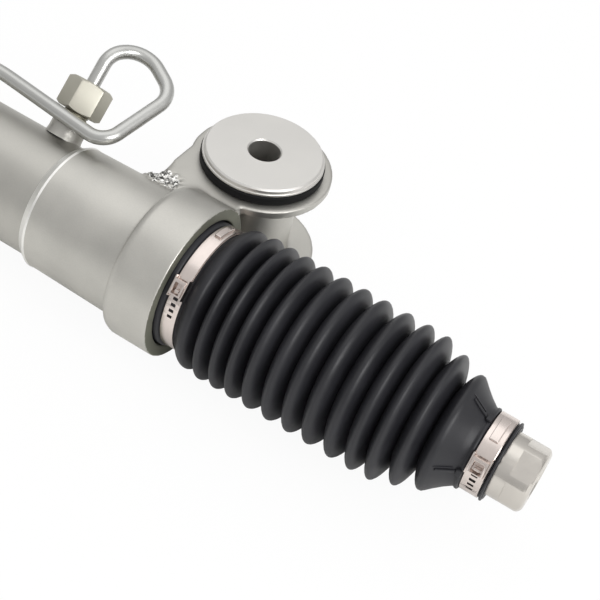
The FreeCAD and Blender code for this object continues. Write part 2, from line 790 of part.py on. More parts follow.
def make_pinion():
    body = new_body("pinion", pinion_x, pinion_y)
    quarter = 90 + 180 / D.pinion_teeth.value
    body.Placement.Rotation = FreeCAD.Rotation(FreeCAD.Vector(0, 0, 1), -quarter)
    half = D.face_width / 2
    thread_end = bearing_bottom - D.nut_length - 1
    lathe_z(body, [
        (0, thread_end),
        (D.journal_radius - 0.5, thread_end),
        (D.journal_radius - 0.5, bearing_bottom),
        (D.journal_radius - D.slip, bearing_bottom),
        (D.journal_radius - D.slip, -half - 1),
        (D.journal_radius + 2, -half - 1),
        (D.journal_radius + 2, -half),
        (pitch_radius + D.pinion_addendum, -half),
        (pitch_radius + D.pinion_addendum, half),
        (D.upper_journal, half + 1),
        (D.upper_journal, D.tower_top + 0.5),
        (D.valve_bore - 0.5, D.tower_top + 0.5),
        (D.valve_bore - 0.5, sleeve_bottom),
        (D.torsion_bore + 1, sleeve_bottom),
        (D.torsion_bore + 1, sleeve_bottom + 2),
        (D.torsion_radius + D.fit, sleeve_bottom + 2),
        (D.torsion_radius + D.fit, half - 2),
        (0, half - 2),
    ])
    space = new_sketch(body, "XY_Plane", (0, 0, -half))
    add_loop(space, pinion_space())
    cut = padded(body, space, D.face_width, cut=True, backwards=True)
    polar(body, cut, origin_axis(body, "Z_Axis"), D.pinion_teeth)


def make_bearings():
    bearing_top = bearing_bottom + D.bearing_width
    upright_ring("lower_bearing", bearing_bottom, bearing_top, D.journal_radius, D.bearing_radius)
    seat_level = D.face_width / 2 + 1
    journal = D.upper_journal + D.slip
    upright_ring("upper_bearing", seat_level, D.tower_top - 1, journal, D.upper_bearing)
    nut = new_body("pinion_nut", pinion_x, pinion_y)
    sketch = new_sketch(nut, "XY_Plane", (0, 0, bearing_bottom - D.nut_length))
    across = D.bearing_radius * 0.72
    add_loop(sketch, hexagon_points(across))
    add_circle(sketch, 0, 0, D.journal_radius - 0.5 + D.fit)
    padded(nut, sketch, D.nut_length)
    plug = new_body("bottom_plug", pinion_x, pinion_y)
    lathe_z(plug, [
        (0, -D.tower_foot),
        (D.bearing_radius, -D.tower_foot),
        (D.bearing_radius, bearing_bottom - D.fit),
        (D.bearing_radius - 2, bearing_bottom - D.fit),
        (D.bearing_radius - 2, 3 - D.tower_foot),
        (0, 3 - D.tower_foot),
    ])
    hexagon = new_sketch(plug, "XY_Plane", (0, 0, -D.tower_foot))
    add_loop(hexagon, hexagon_points(across * 0.6))
    padded(plug, hexagon, 2, cut=True, backwards=True)


def make_valve():
    outer = D.valve_bore + D.valve_wall
    base = D.tower_top
    housing = new_body("valve_housing", pinion_x, pinion_y)
    lathe_z(housing, [
        (0, base),
        (D.flange_radius, base),
        (D.flange_radius, base + D.flange_thickness),
        (outer, base + D.flange_thickness),
        (outer, D.valve_top - 2),
        (outer - 2, D.valve_top),
        (0, D.valve_top),
    ])
    thread = D.nut_shank_radius + D.fit
    oil_way = D.pipe_radius - D.pipe_wall
    for level in (D.valve_low_port, D.valve_high_port):
        for side in (1, -1):
            boss = circles(housing, "YZ_Plane", [(0, level, D.port_radius)])
            padded(housing, boss, valve_port_face, backwards=side < 0)
    for level in (D.valve_low_port, D.valve_high_port):
        for side in (1, -1):
            start = side * (valve_port_face - port_depth)
            seat_hole = circles(housing, "YZ_Plane", [(0, level, thread)], (0, 0, start))
            padded(housing, seat_hole, port_depth + 1, cut=True, backwards=side > 0)
            oil = circles(housing, "YZ_Plane", [(0, level, oil_way)])
            padded(housing, oil, valve_port_face, cut=True, backwards=side > 0)
    bore = circles(housing, "XY_Plane", [(0, 0, D.valve_bore + D.slip)], (0, 0, base - 1))
    padded(housing, bore, D.valve_top, cut=True, backwards=True)
    rings = [(x, y, D.bolt_radius + D.fit) for x, y in valve_bolt_places()]
    bolt_holes = circles(housing, "XY_Plane", rings, (0, 0, base))
    padded(housing, bolt_holes, D.flange_thickness, cut=True, backwards=True)
    inner = D.valve_bore - D.sleeve_wall
    sleeve = new_body("valve_sleeve", pinion_x, pinion_y)
    ring = [(inner, sleeve_bottom), (D.valve_bore, sleeve_bottom)]
    for level in (D.valve_low_port, (D.valve_low_port + D.valve_high_port) / 2, D.valve_high_port):
        ring += [
            (D.valve_bore, level - D.pipe_radius),
            (D.valve_bore - 1.5, level - D.pipe_radius),
            (D.valve_bore - 1.5, level + D.pipe_radius),
            (D.valve_bore, level + D.pipe_radius),
        ]
    ring += [(D.valve_bore, sleeve_bottom + D.sleeve_length), (inner, sleeve_bottom + D.sleeve_length)]
    lathe_z(sleeve, ring)
    seal_bottom = sleeve_bottom + D.sleeve_length + 0.3
    upright_ring("input_seal", seal_bottom, seal_bottom + 6, D.input_radius + D.slip, D.valve_bore)
    cap_inner = D.input_radius + D.slip
    cap = new_body("dust_cap", pinion_x, pinion_y)
    lathe_z(cap, [
        (cap_inner, seal_bottom + 6.3),
        (D.valve_bore, seal_bottom + 6.3),
        (D.valve_bore, D.valve_top + D.fit),
        (outer - 2, D.valve_top + D.fit),
        (outer - 4, D.valve_top + 3),
        (cap_inner + 3, D.valve_top + 5),
        (cap_inner, D.valve_top + 5),
    ])


def make_input_shaft():
    shaft = new_body("input_shaft", pinion_x, pinion_y)
    start = sleeve_bottom + 2.3
    spline_start = D.input_top - D.spline_length
    sleeve_fit = D.valve_bore - D.sleeve_wall - D.slip
    lathe_z(shaft, [
        (D.torsion_bore, start),
        (sleeve_fit, start),
        (sleeve_fit, sleeve_bottom + D.sleeve_length),
        (D.input_radius, sleeve_bottom + D.sleeve_length),
        (D.input_radius, spline_start - 8),
        (D.spline_radius - 0.8, spline_start - 6),
        (D.spline_radius - 0.8, spline_start),
        (D.spline_radius, spline_start),
        (D.spline_radius, D.input_top - 1),
        (D.spline_radius - 1, D.input_top),
        (D.torsion_radius + D.fit, D.input_top),
        (D.torsion_radius + D.fit, spline_start),
        (D.torsion_bore, spline_start),
    ])
    notch = outline(shaft, "XY_Plane", [
        (D.spline_radius - 0.9, 0),
        (D.spline_radius + 0.3, 0.7),
        (D.spline_radius + 0.3, -0.7),
    ], (0, 0, spline_start))
    cut = padded(shaft, notch, D.spline_length, cut=True, backwards=True)
    polar(shaft, cut, origin_axis(shaft, "Z_Axis"), D.spline_count)
    bar = new_body("torsion_bar", pinion_x, pinion_y)
    waist = D.torsion_radius * 0.75
    low = D.face_width / 2 - 2 + D.fit
    lathe_z(bar, [
        (0, low),
        (D.torsion_radius, low),
        (D.torsion_radius, sleeve_bottom + 2),
        (waist, sleeve_bottom + 6),
        (waist, spline_start - 3),
        (D.torsion_radius, spline_start),
        (D.torsion_radius, D.input_top - 0.5),
        (0, D.input_top - 0.5),
    ])


def make_yoke():
    body = new_body("rack_yoke", pinion_x)
    reach = D.rack_radius + D.yoke_length
    face = circles(body, "XZ_Plane", [(0, 0, D.yoke_radius)], (0, 0, D.rack_radius * 0.35))
    padded(body, face, reach - D.rack_radius * 0.35)
    saddle = D.rack_radius + D.slip
    lathe_x(body, [
        (-D.yoke_radius - 1, 0),
        (-D.yoke_radius - 1, saddle),
        (D.yoke_radius + 1, saddle),
        (D.yoke_radius + 1, 0),
    ], cut=True)
    pocket = circles(body, "XZ_Plane", [(0, 0, D.spring_radius + D.wire_radius + 0.5)], (0, 0, reach - 3))
    padded(body, pocket, 4, cut=True, backwards=True)
    plug_start = reach - 3 + D.spring_length
    plug = new_body("yoke_plug", pinion_x)
    thread = circles(plug, "XZ_Plane", [(0, 0, D.yoke_radius)], (0, 0, plug_start))
    plug_end = D.yoke_boss_length + D.nut_length + 1.5
    padded(plug, thread, plug_end - plug_start)
    hexagon = new_sketch(plug, "XZ_Plane", (0, 0, plug_end - 4))
    add_loop(hexagon, hexagon_points(D.yoke_radius * 0.6))
    padded(plug, hexagon, 5, cut=True, backwards=True)
    nut = new_body("yoke_locknut", pinion_x)
    sketch = new_sketch(nut, "XZ_Plane", (0, 0, D.yoke_boss_length))
    add_loop(sketch, hexagon_points(D.nut_radius))
    add_circle(sketch, 0, 0, D.yoke_radius + D.fit)
    padded(nut, sketch, D.nut_length)


# Mounting bushings

def make_bushing(name, x):
    offset = D.bushing_offset
    sleeve = new_body(name + "_bushing_sleeve", x, offset)
    low = D.washer_thickness - D.collar_radius
    high = D.boss_top + D.rubber_rise
    lathe_z(sleeve, [
        (D.bolt_hole, low),
        (D.sleeve_radius, low),
        (D.sleeve_radius, high),
        (D.bolt_hole, high),
    ])
    rubber = new_body(name + "_bushing_rubber", x, offset)
    bore = D.sleeve_radius + D.fit
    wall = D.eye_radius - D.fit
    lathe_z(rubber, [
        (bore, low),
        (D.rubber_ring, low),
        (D.rubber_ring, -D.boss_foot - D.fit),
        (wall, -D.boss_foot - D.fit),
        (wall, D.boss_top + D.fit),
        (D.rubber_ring, D.boss_top + D.fit),
        (D.rubber_ring, high),
        (bore, high),
    ])
    chamfer = D.washer_radius - D.washer_face
    for place, level, sign in (("top", high, 1), ("bottom", low, -1)):
        washer = new_body(name + "_bushing_" + place + "_washer", x, offset)
        lathe_z(washer, [
            (D.bolt_hole, level),
            (D.washer_radius, level),
            (D.washer_radius, level + sign * (D.washer_thickness - chamfer)),
            (D.washer_face, level + sign * D.washer_thickness),
            (D.bolt_hole, level + sign * D.washer_thickness),
        ])


# Boots, clamps and tie rods

def lobe_radius(index):
    """Crests get smaller over the last two lobes."""
    if index == LOBES - 1:
        return D.lobe_radius * 0.81
    if index == LOBES - 2:
        return D.lobe_radius * 0.91
    return D.lobe_radius


def make_boot(name, side):
    body = new_body(name + "_boot")
    inner_lip = D.spigot_radius + D.fit
    outer_lip = D.spigot_radius + D.boot_lip
    neck = D.end_radius + D.fit
    fold = D.lobe_radius - D.valley_radius
    mouth = 1 - D.recess_depth
    crests = [(D.lobe_first + D.lobe_pitch * index, lobe_radius(index)) for index in range(LOBES)]
    points = [(mouth, outer_lip), (D.lobe_first - D.lobe_pitch / 2, outer_lip - 1)]
    for index, (crest, radius) in enumerate(crests):
        points += [(crest - D.crest_flat / 2, radius), (crest + D.crest_flat / 2, radius)]
        if index < LOBES - 1:
            points += [(crest + D.lobe_pitch / 2, radius - fold)]
    points += [
        (D.neck_start, D.end_radius + D.neck_wall + 1),
        (D.neck_start + 1, D.end_radius + D.neck_wall),
        (D.neck_start + D.neck_length - 2, D.end_radius + D.neck_wall),
        (D.neck_start + D.neck_length - 1, D.end_radius + D.neck_wall + 1.2),
        (D.neck_start + D.neck_length, D.end_radius + D.neck_wall),
        (D.neck_start + D.neck_length, neck),
        (D.neck_start, neck),
    ]
    floor_half = D.boot_wall * 0.66
    for index in reversed(range(LOBES)):
        crest, radius = crests[index]
        points += [(crest, radius - D.boot_wall)]
        if index > 0:
            valley = crest - D.lobe_pitch / 2
            floor = crests[index - 1][1] - fold - D.boot_wall
            points += [(valley + floor_half, floor), (valley - floor_half, floor)]
    points += [
        (D.lobe_first - D.lobe_pitch / 2 + floor_half, inner_lip),
        (mouth, inner_lip),
    ]
    lathe_x(body, [(along(side, distance), radius) for distance, radius in points])


def make_clamp(label, side, start, width, radius):
    """Band with a folded lock and its punched slots."""
    body = new_body(label)
    inner = radius + D.fit
    outer = inner + D.clamp_thickness
    lathe_x(body, [
        (along(side, start), inner),
        (along(side, start + width), inner),
        (along(side, start + width), outer),
        (along(side, start), outer),
    ])
    lock = [
        (along(side, start + (width - D.lock_width) / 2), -D.lock_width * 0.7),
        (along(side, start + (width + D.lock_width) / 2), -D.lock_width * 0.7),
        (along(side, start + (width + D.lock_width) / 2), D.lock_width * 0.7),
        (along(side, start + (width - D.lock_width) / 2), D.lock_width * 0.7),
    ]
    tilt = FreeCAD.Rotation(FreeCAD.Vector(1, 0, 0), LOCK_TURN)
    body.Placement.Rotation = tilt
    padded(body, outline(body, "XY_Plane", lock, (0, 0, inner + 0.2)), D.lock_height)
    slot_half = width / 6
    middle = start + width / 2
    for count in range(3):
        shift = D.lock_width * (1.3 + count * 0.7)
        slot = outline(body, "XY_Plane", [
            (along(side, middle - slot_half), shift),
            (along(side, middle + slot_half), shift),
            (along(side, middle + slot_half), shift + slot_half * 1.4),
            (along(side, middle - slot_half), shift + slot_half * 1.4),
        ])
        padded(body, slot, outer + 1, cut=True, backwards=True)
    turned(body, outline(body, "XY_Plane", [
        (along(side, start - 1), 0),
        (along(side, start - 1), inner),
        (along(side, start + width + 1), inner),
        (along(side, start + width + 1), 0),
    ]), "H_Axis", cut=True)


def make_socket(name, side):
    """Cup that holds the ball, with a thread for the rack's end."""
    body = new_body(name + "_socket")
    centre = along(side, D.ball_centre)
    cavity = D.ball_radius + D.slip + D.liner_wall + D.fit
    back = socket_back
    mouth = D.ball_centre + D.socket_mouth
    pole = centre - side * cavity
    lip = along(side, mouth)
    sketch = new_sketch(body, "XY_Plane")
    arc, first, last = add_ball(sketch, centre, cavity, pole, lip)
    outside = [
        (lip, ball_height(cavity, D.socket_mouth)),
        (lip, D.socket_radius - D.lip_bevel),
        (along(side, mouth - D.lip_bevel), D.socket_radius),
        (along(side, back + 1.5), D.socket_radius),
        (along(side, back), D.socket_radius - 1.5),
        (along(side, back), D.stud_radius),
        (along(side, back - D.stud_length + 1), D.stud_radius),
        (along(side, back - D.stud_length), D.stud_radius - 1),
        (along(side, back - D.stud_length), 0),
        (pole, 0),
    ]
    add_chain(sketch, outside, (arc, last), (arc, first))
    turned(body, sketch, "H_Axis")
    for sign in (1, -1):
        flat = [
            (along(side, back + 2), sign * (D.socket_radius - 2)),
            (along(side, back + 12), sign * (D.socket_radius - 2)),
            (along(side, back + 12), sign * (D.socket_radius + 1)),
            (along(side, back + 2), sign * (D.socket_radius + 1)),
        ]
        padded(body, outline(body, "XY_Plane", flat), D.socket_radius * 2, cut=True, both_ways=True)


def make_liner(name, side):
    """Moulded seat between the ball and its socket."""
    body = new_body(name + "_liner")
    centre = along(side, D.ball_centre)
    inner = D.ball_radius + D.slip
    outer = inner + D.liner_wall
    back = along(side, D.ball_centre - D.liner_back)
    front = along(side, D.ball_centre + D.liner_reach)
    sketch = new_sketch(body, "XY_Plane")
    inner_arc, inner_back, inner_front = add_ball(sketch, centre, inner, back, front)
    outer_arc, outer_back, outer_front = add_ball(sketch, centre, outer, back, front)
    for x, depth, low, high in (
        (front, D.liner_reach, (inner_arc, inner_front), (outer_arc, outer_front)),
        (back, D.liner_back, (inner_arc, inner_back), (outer_arc, outer_back)),
    ):
        rim = Part.LineSegment(
            FreeCAD.Vector(value_of(x), ball_height(inner, depth), 0),
            FreeCAD.Vector(value_of(x), ball_height(outer, depth), 0),
        )
        line = sketch.addGeometry(rim)
        sketch.addConstraint(Sketcher.Constraint("Coincident", line, 1, low[0], low[1]))
        sketch.addConstraint(Sketcher.Constraint("Coincident", line, 2, high[0], high[1]))
    turned(body, sketch, "H_Axis")


def make_tie_rod(name, side):
    """Ball, neck, shank and the threaded end with its six wrench flats."""
    rod = new_body(name + "_tie_rod")
    centre = along(side, D.ball_centre)
    pole = centre - side * D.ball_radius
    root = D.ball_radius - D.neck_sink
    neck = centre + side * root
    sketch = new_sketch(rod, "XY_Plane")
    arc, first, last = add_ball(sketch, centre, D.ball_radius, pole, neck)
    outside = [
        (neck, ball_height(D.ball_radius, root)),
        (along(side, D.ball_centre + D.ball_radius + 2), D.neck_radius),
        (along(side, D.ball_centre + D.ball_radius + 8), D.shank_radius),
        (along(side, D.end_start - 6), D.shank_radius),
        (along(side, D.end_start), D.end_radius - 1),
        (along(side, D.end_start + 1), D.end_radius),
        (along(side, D.end_face - 1.8), D.end_radius),
        (along(side, D.end_face), D.end_radius - 1.8),
        (along(side, D.end_face), D.thread_radius + 1),
        (along(side, D.end_face - 1), D.thread_radius),
        (along(side, D.end_face - D.thread_depth), D.thread_radius),
        (along(side, D.end_face - D.thread_depth - 4), 0),
        (pole, 0),
    ]
    add_chain(sketch, outside, (arc, last), (arc, first))
    turned(rod, sketch, "H_Axis")
    hexagon = new_sketch(rod, "YZ_Plane", (0, 0, along(side, D.flat_start)))
    add_circle(hexagon, 0, 0, D.end_radius + 3)
    add_loop(hexagon, hexagon_points(D.flats_across / math.sqrt(3), 30))
    padded(rod, hexagon, D.end_face - D.flat_start + 1, cut=True, backwards=side > 0)


# Pipes, nuts, bolts and the spring

def tube_along(points, bends, radius):
    """Round solid along straight runs joined by tangent arcs."""
    edges = []
    start = points[0]
    for index in range(1, len(points) - 1):
        corner = points[index]
        towards = (points[index - 1] - corner).normalize()
        onwards = (points[index + 1] - corner).normalize()
        half = (math.pi - towards.getAngle(onwards)) / 2
        setback = bends[index - 1] * math.tan(half)
        enter = corner + towards * setback
        leave = corner + onwards * setback
        middle_way = (towards + onwards).normalize()
        centre = corner + middle_way * (bends[index - 1] / math.cos(half))
        apex = centre - middle_way * bends[index - 1]
        edges.append(Part.makeLine(start, enter))
        edges.append(Part.Arc(enter, apex, leave).toShape())
        start = leave
    edges.append(Part.makeLine(start, points[-1]))
    path = Part.Wire(edges)
    heading = (points[1] - points[0]).normalize()
    section = Part.Wire([Part.Circle(points[0], heading, radius).toShape()])
    return path.makePipeShell([section], True, True)


def radial(x, reach):
    """Point above a port boss, reach away from the rack axis."""
    lean = math.radians(PORT_LEAN)
    return FreeCAD.Vector(x, reach * math.sin(lean), reach * math.cos(lean))


def make_pipes():
    nut_top = D.port_reach.value + D.nut_stand.value
    level = pinion_y.value
    start = value_of(pinion_x + valve_port_face + D.nut_stand)
    end_x = end_port_x.value
    gear_x = gear_port_x.value
    routes = {
        "end_pipe": ([
            radial(end_x, nut_top),
            radial(end_x, nut_top + 31),
            FreeCAD.Vector(end_x + 9.3, 65.9, 49),
            FreeCAD.Vector(end_x + 32.5, 55.5, 41),
            FreeCAD.Vector(end_x + 25.5, 13.5, 34),
            FreeCAD.Vector(end_x - 39, 21.5, 34.5),
            FreeCAD.Vector(end_x - 152, 10, 36),
            FreeCAD.Vector(start + 45, 13, 38),
            FreeCAD.Vector(start + 26, level, D.valve_low_port.value),
            FreeCAD.Vector(start, level, D.valve_low_port.value),
        ], [11, 13, 12, 9, 60, 90, 28, 10]),
        "gear_pipe": ([
            radial(gear_x, nut_top),
            radial(gear_x, nut_top + 30),
            FreeCAD.Vector(gear_x - 32, 44, D.valve_high_port.value),
            FreeCAD.Vector(start + 26, level, D.valve_high_port.value),
            FreeCAD.Vector(start, level, D.valve_high_port.value),
        ], [10, 25, 25]),
    }
    for label, (points, bends) in routes.items():
        outer = tube_along(points, bends, D.pipe_radius.value)
        inner = tube_along(points, bends, D.pipe_radius.value - D.pipe_wall.value)
        pipe = doc.addObject("Part::Feature", label)
        pipe.Shape = outer.cut(inner)
        seat(pipe, label)


def bound(kind, label, **sizes):
    """A Part primitive whose sizes follow the sheet."""
    thing = doc.addObject(kind, label)
    for name, number in sizes.items():
        setattr(thing, name, value_of(number))
        bind(thing, name, number)
    return thing


def joined(label, parts):
    whole = doc.addObject("Part::MultiFuse", label)
    whole.Shapes = parts
    return whole


def taken_from(label, base, tool):
    rest = doc.addObject("Part::Cut", label)
    rest.Base = base
    rest.Tool = tool
    return rest


def make_flare_nuts():
    """Four alike: hexagon, threaded shank and a bore for the pipe."""
    up = FreeCAD.Vector(0, 0, 1)
    lean = FreeCAD.Rotation(FreeCAD.Vector(1, 0, 0), -PORT_LEAN)
    level_way = FreeCAD.Rotation(up, FreeCAD.Vector(1, 0, 0))
    foot = D.port_reach
    valve_foot = pinion_x + valve_port_face
    places = [
        (radial(end_port_x.value, foot.value), lean),
        (radial(gear_port_x.value, foot.value), lean),
        (FreeCAD.Vector(valve_foot.value, pinion_y.value, D.valve_low_port.value), level_way),
        (FreeCAD.Vector(valve_foot.value, pinion_y.value, D.valve_high_port.value), level_way),
    ]
    nuts = []
    corner = D.nut_across / math.sqrt(3)
    for place, turn in places:
        hexagon = bound("Part::Prism", "hexagon", Circumradius=corner, Height=D.nut_hex_length)
        hexagon.Polygon = 6
        hexagon.Placement.Base.z = D.nut_stand.value
        bind(hexagon, "Placement.Base.z", D.nut_stand)
        reach = port_depth + D.nut_stand
        shank = bound("Part::Cylinder", "shank", Radius=D.nut_shank_radius, Height=reach)
        shank.Placement.Base.z = -port_depth.value
        bind(shank, "Placement.Base.z", -port_depth)
        hole = bound(
            "Part::Cylinder",
            "hole",
            Radius=D.pipe_radius + D.fit,
            Height=reach + D.nut_hex_length + 2,
        )
        hole.Placement.Base.z = -port_depth.value - 1
        bind(hole, "Placement.Base.z", -port_depth - 1)
        nut = taken_from("nut", joined("solid_nut", [hexagon, shank]), hole)
        nut.Placement = FreeCAD.Placement(place, turn)
        nuts.append(nut)
    group = doc.addObject("Part::Compound", "flare_nuts")
    group.Links = nuts
    seat(group, "flare_nuts")


def valve_bolt_places():
    """Bolt positions round the pinion axis, clear of the port bosses."""
    turns = [math.radians(angle) for angle in (90, 210, 330)]
    return [(D.bolt_circle * math.cos(turn), D.bolt_circle * math.sin(turn)) for turn in turns]


def make_valve_bolts():
    seat_level = D.tower_top + D.flange_thickness
    foot = D.tower_top - D.flange_thickness
    bolts = []
    for x, y in valve_bolt_places():
        shank = bound("Part::Cylinder", "shank", Radius=D.bolt_radius, Height=D.flange_thickness * 2)
        head = bound("Part::Cylinder", "head", Radius=D.bolt_radius * 1.7, Height=D.bolt_radius * 2)
        key = D.bolt_radius * 0.95
        socket = bound("Part::Prism", "socket", Circumradius=key, Height=D.bolt_radius * 1.2)
        socket.Polygon = 6
        levels = ((shank, foot), (head, seat_level), (socket, seat_level + D.bolt_radius))
        for thing, level in levels:
            thing.Placement.Base = FreeCAD.Vector(x.value, y.value, level.value)
            for letter, number in (("x", x), ("y", y), ("z", level)):
                bind(thing, "Placement.Base." + letter, number)
        bolts.append(taken_from("bolt", joined("solid_bolt", [shank, head]), socket))
    group = doc.addObject("Part::Compound", "valve_bolts")
    group.Links = bolts
    seat(group, "valve_bolts", pinion_x, pinion_y)


def make_yoke_spring():
    height = D.spring_length - D.wire_radius * 2 - D.fit * 2
    coil = bound("Part::Helix", "coil", Radius=D.spring_radius, Height=height, Pitch=height / SPRING_TURNS)
    wire = bound("Part::Circle", "wire", Radius=D.wire_radius)
    wire.Placement = FreeCAD.Placement(
        FreeCAD.Vector(D.spring_radius.value, 0, 0),
        FreeCAD.Rotation(FreeCAD.Vector(1, 0, 0), 90),
    )
    bind(wire, "Placement.Base.x", D.spring_radius)
    doc.recompute()
    spring = doc.addObject("Part::Sweep", "yoke_spring")
    spring.Sections = [wire]
    spring.Spine = (coil, ["Edge1"])
    spring.Solid = True
    spring.Frenet = True
    spring.Placement.Rotation = FreeCAD.Rotation(FreeCAD.Vector(1, 0, 0), 90)
    start = D.rack_radius + D.yoke_length - 3 + D.wire_radius + D.fit
    seat(spring, "yoke_spring", pinion_x, -start, 0)


make_end_housing()
make_gear_housing()
make_cylinder_tube()
make_port_bosses()
make_rack_bar()
make_piston()
make_seals()
make_pinion()
make_bearings()
make_valve()
make_input_shaft()
make_yoke()
make_yoke_spring()
make_valve_bolts()
make_bushing("end", 0)
make_bushing("gear", far_bushing_x)
for name, side in (("end", 1), ("gear", -1)):
    make_boot(name, side)
    lip_radius = D.spigot_radius + D.boot_lip
    make_clamp(name + "_large_clamp", side, D.clamp_gap, D.large_clamp_width, lip_radius)
    neck_radius = D.end_radius + D.neck_wall
    make_clamp(name + "_small_clamp", side, D.neck_start + 2, D.small_clamp_width, neck_radius)
    make_socket(name, side)
    make_liner(name, side)
    make_tie_rod(name, side)
make_pipes()
make_flare_nuts()


def write_pieces():
    """Recomputes, refuses anything broken and writes one file for each piece."""
    doc.recompute()
    for thing in doc.Objects:
        if "Invalid" in thing.State or "Error" in thing.State:
            raise RuntimeError(thing.Name + " did not build: " + str(thing.State))
    os.makedirs("parts", exist_ok=True)
    for piece in pieces:
        shape = piece.Shape
        if shape.isNull() or not shape.isValid():
            raise RuntimeError(piece.Label + " is not a valid solid")
        shape.exportStep(os.path.join("parts", piece.Label + ".step"))
        box = shape.BoundBox
        print(piece.Label, len(shape.Solids), "solids", round(shape.Volume), "mm3", [
            round(number, 1)
            for number in (box.XMin, box.XMax, box.YMin, box.YMax, box.ZMin, box.ZMax)
        ])


write_pieces()
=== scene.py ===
import json
import math

import bpy
from bpy.props import FloatProperty, FloatVectorProperty, IntProperty, PointerProperty
from mathutils import Matrix, Vector

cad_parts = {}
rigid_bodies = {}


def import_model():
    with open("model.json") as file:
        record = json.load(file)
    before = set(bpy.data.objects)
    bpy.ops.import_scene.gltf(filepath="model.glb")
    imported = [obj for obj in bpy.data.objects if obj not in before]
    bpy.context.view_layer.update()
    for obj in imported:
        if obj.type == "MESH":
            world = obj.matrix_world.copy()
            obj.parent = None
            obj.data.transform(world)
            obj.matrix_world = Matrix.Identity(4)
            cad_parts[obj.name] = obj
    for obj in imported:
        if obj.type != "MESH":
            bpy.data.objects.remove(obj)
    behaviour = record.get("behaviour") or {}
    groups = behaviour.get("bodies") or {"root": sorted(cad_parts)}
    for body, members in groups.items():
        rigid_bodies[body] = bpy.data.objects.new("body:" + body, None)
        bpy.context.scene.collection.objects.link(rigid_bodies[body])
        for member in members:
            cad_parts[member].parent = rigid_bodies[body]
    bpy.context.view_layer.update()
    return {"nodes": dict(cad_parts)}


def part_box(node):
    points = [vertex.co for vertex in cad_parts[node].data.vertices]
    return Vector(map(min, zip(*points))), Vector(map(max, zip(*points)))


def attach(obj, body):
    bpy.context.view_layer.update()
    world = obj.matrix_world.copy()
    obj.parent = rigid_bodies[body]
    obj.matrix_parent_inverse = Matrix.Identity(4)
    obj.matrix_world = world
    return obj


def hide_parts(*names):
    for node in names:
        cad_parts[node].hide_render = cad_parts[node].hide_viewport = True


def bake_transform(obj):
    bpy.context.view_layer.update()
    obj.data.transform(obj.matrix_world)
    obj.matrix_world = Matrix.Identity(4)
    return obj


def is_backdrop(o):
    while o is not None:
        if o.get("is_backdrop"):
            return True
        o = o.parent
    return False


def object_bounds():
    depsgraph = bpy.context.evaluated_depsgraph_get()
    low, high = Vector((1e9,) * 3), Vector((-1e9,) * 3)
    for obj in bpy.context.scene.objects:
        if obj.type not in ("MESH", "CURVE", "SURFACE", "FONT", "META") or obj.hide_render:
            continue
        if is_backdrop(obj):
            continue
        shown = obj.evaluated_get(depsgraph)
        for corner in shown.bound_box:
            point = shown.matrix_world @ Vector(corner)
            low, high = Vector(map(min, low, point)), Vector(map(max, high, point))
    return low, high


bl_info = {
    "name": "Steering rack",
    "version": (1, 0, 0),
    "blender": (4, 5, 0),
    "location": "View3D > Sidebar > Steering rack",
    "description": "Dresses a packed steering rack: castings, boots, bands, bushings, pipes and tie rods",
    "category": "Object",
}

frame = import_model()

MM = 0.001
SIDES = (("end", 1), ("gear", -1))


def middle_of(node):
    low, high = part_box(node)
    return (low + high) / 2


# Where things stand: the rack's and the pinion's axes, the bushings, and the collars' faces in millimetres
BAND_INSET = 0.5
RACK = middle_of("rack_bar")
PINION = middle_of("input_shaft")
EYES = {side: middle_of(side + "_bushing_sleeve") for side, way in SIDES}
FACES = {
    "end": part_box("end_large_clamp")[0].x / MM - BAND_INSET,
    "gear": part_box("gear_large_clamp")[1].x / MM + BAND_INSET,
}

# The fitted view: the camera's place, its right and up directions and its lens
CAMERA_PLACE = (0.1983, -0.4299, 0.4442)
CAMERA_RIGHT = (0.8398, 0.5108, 0.1841)
CAMERA_UP = (-0.4798, 0.5395, 0.6919)
CAMERA_LENS = 79.49


def linear(code):
    """Linear colour of an sRGB hex code, with alpha."""
    parts = [int(code[index:index + 2], 16) / 255 for index in (1, 3, 5)]
    return [part / 12.92 if part <= 0.04045 else ((part + 0.055) / 1.055) ** 2.4 for part in parts] + [1]


def length_size(name, description, default):
    return FloatProperty(
        name=name, description=description, default=default, unit="LENGTH", subtype="DISTANCE",
    )


def colour(name, description, code):
    return FloatVectorProperty(
        name=name, description=description, default=linear(code)[:3], subtype="COLOR",
    )


class RackSizes(bpy.types.PropertyGroup):
    """Sizes of the dressed pieces."""

    steps: IntProperty(name="Steps", description="Segments round a turned piece", default=144)
    cast_grain: length_size("Cast grain", "Face size of the end casting and the valve housing", 0.9 * MM)
    far_grain: length_size("Far grain", "Face size of the gear casting", 1.4 * MM)
    crest: length_size("Crest", "Radius of the boot's lobes", 34.6 * MM)
    fold: length_size("Fold", "Depth of the folds between the lobes", 8.6 * MM)
    boot_wall: length_size("Boot wall", "Thickness of the boots", 1.6 * MM)
    band: length_size("Band", "Thickness of the boot bands", 0.8 * MM)
    pipe: length_size("Pipe", "Radius of the transfer pipes", 3.3 * MM)


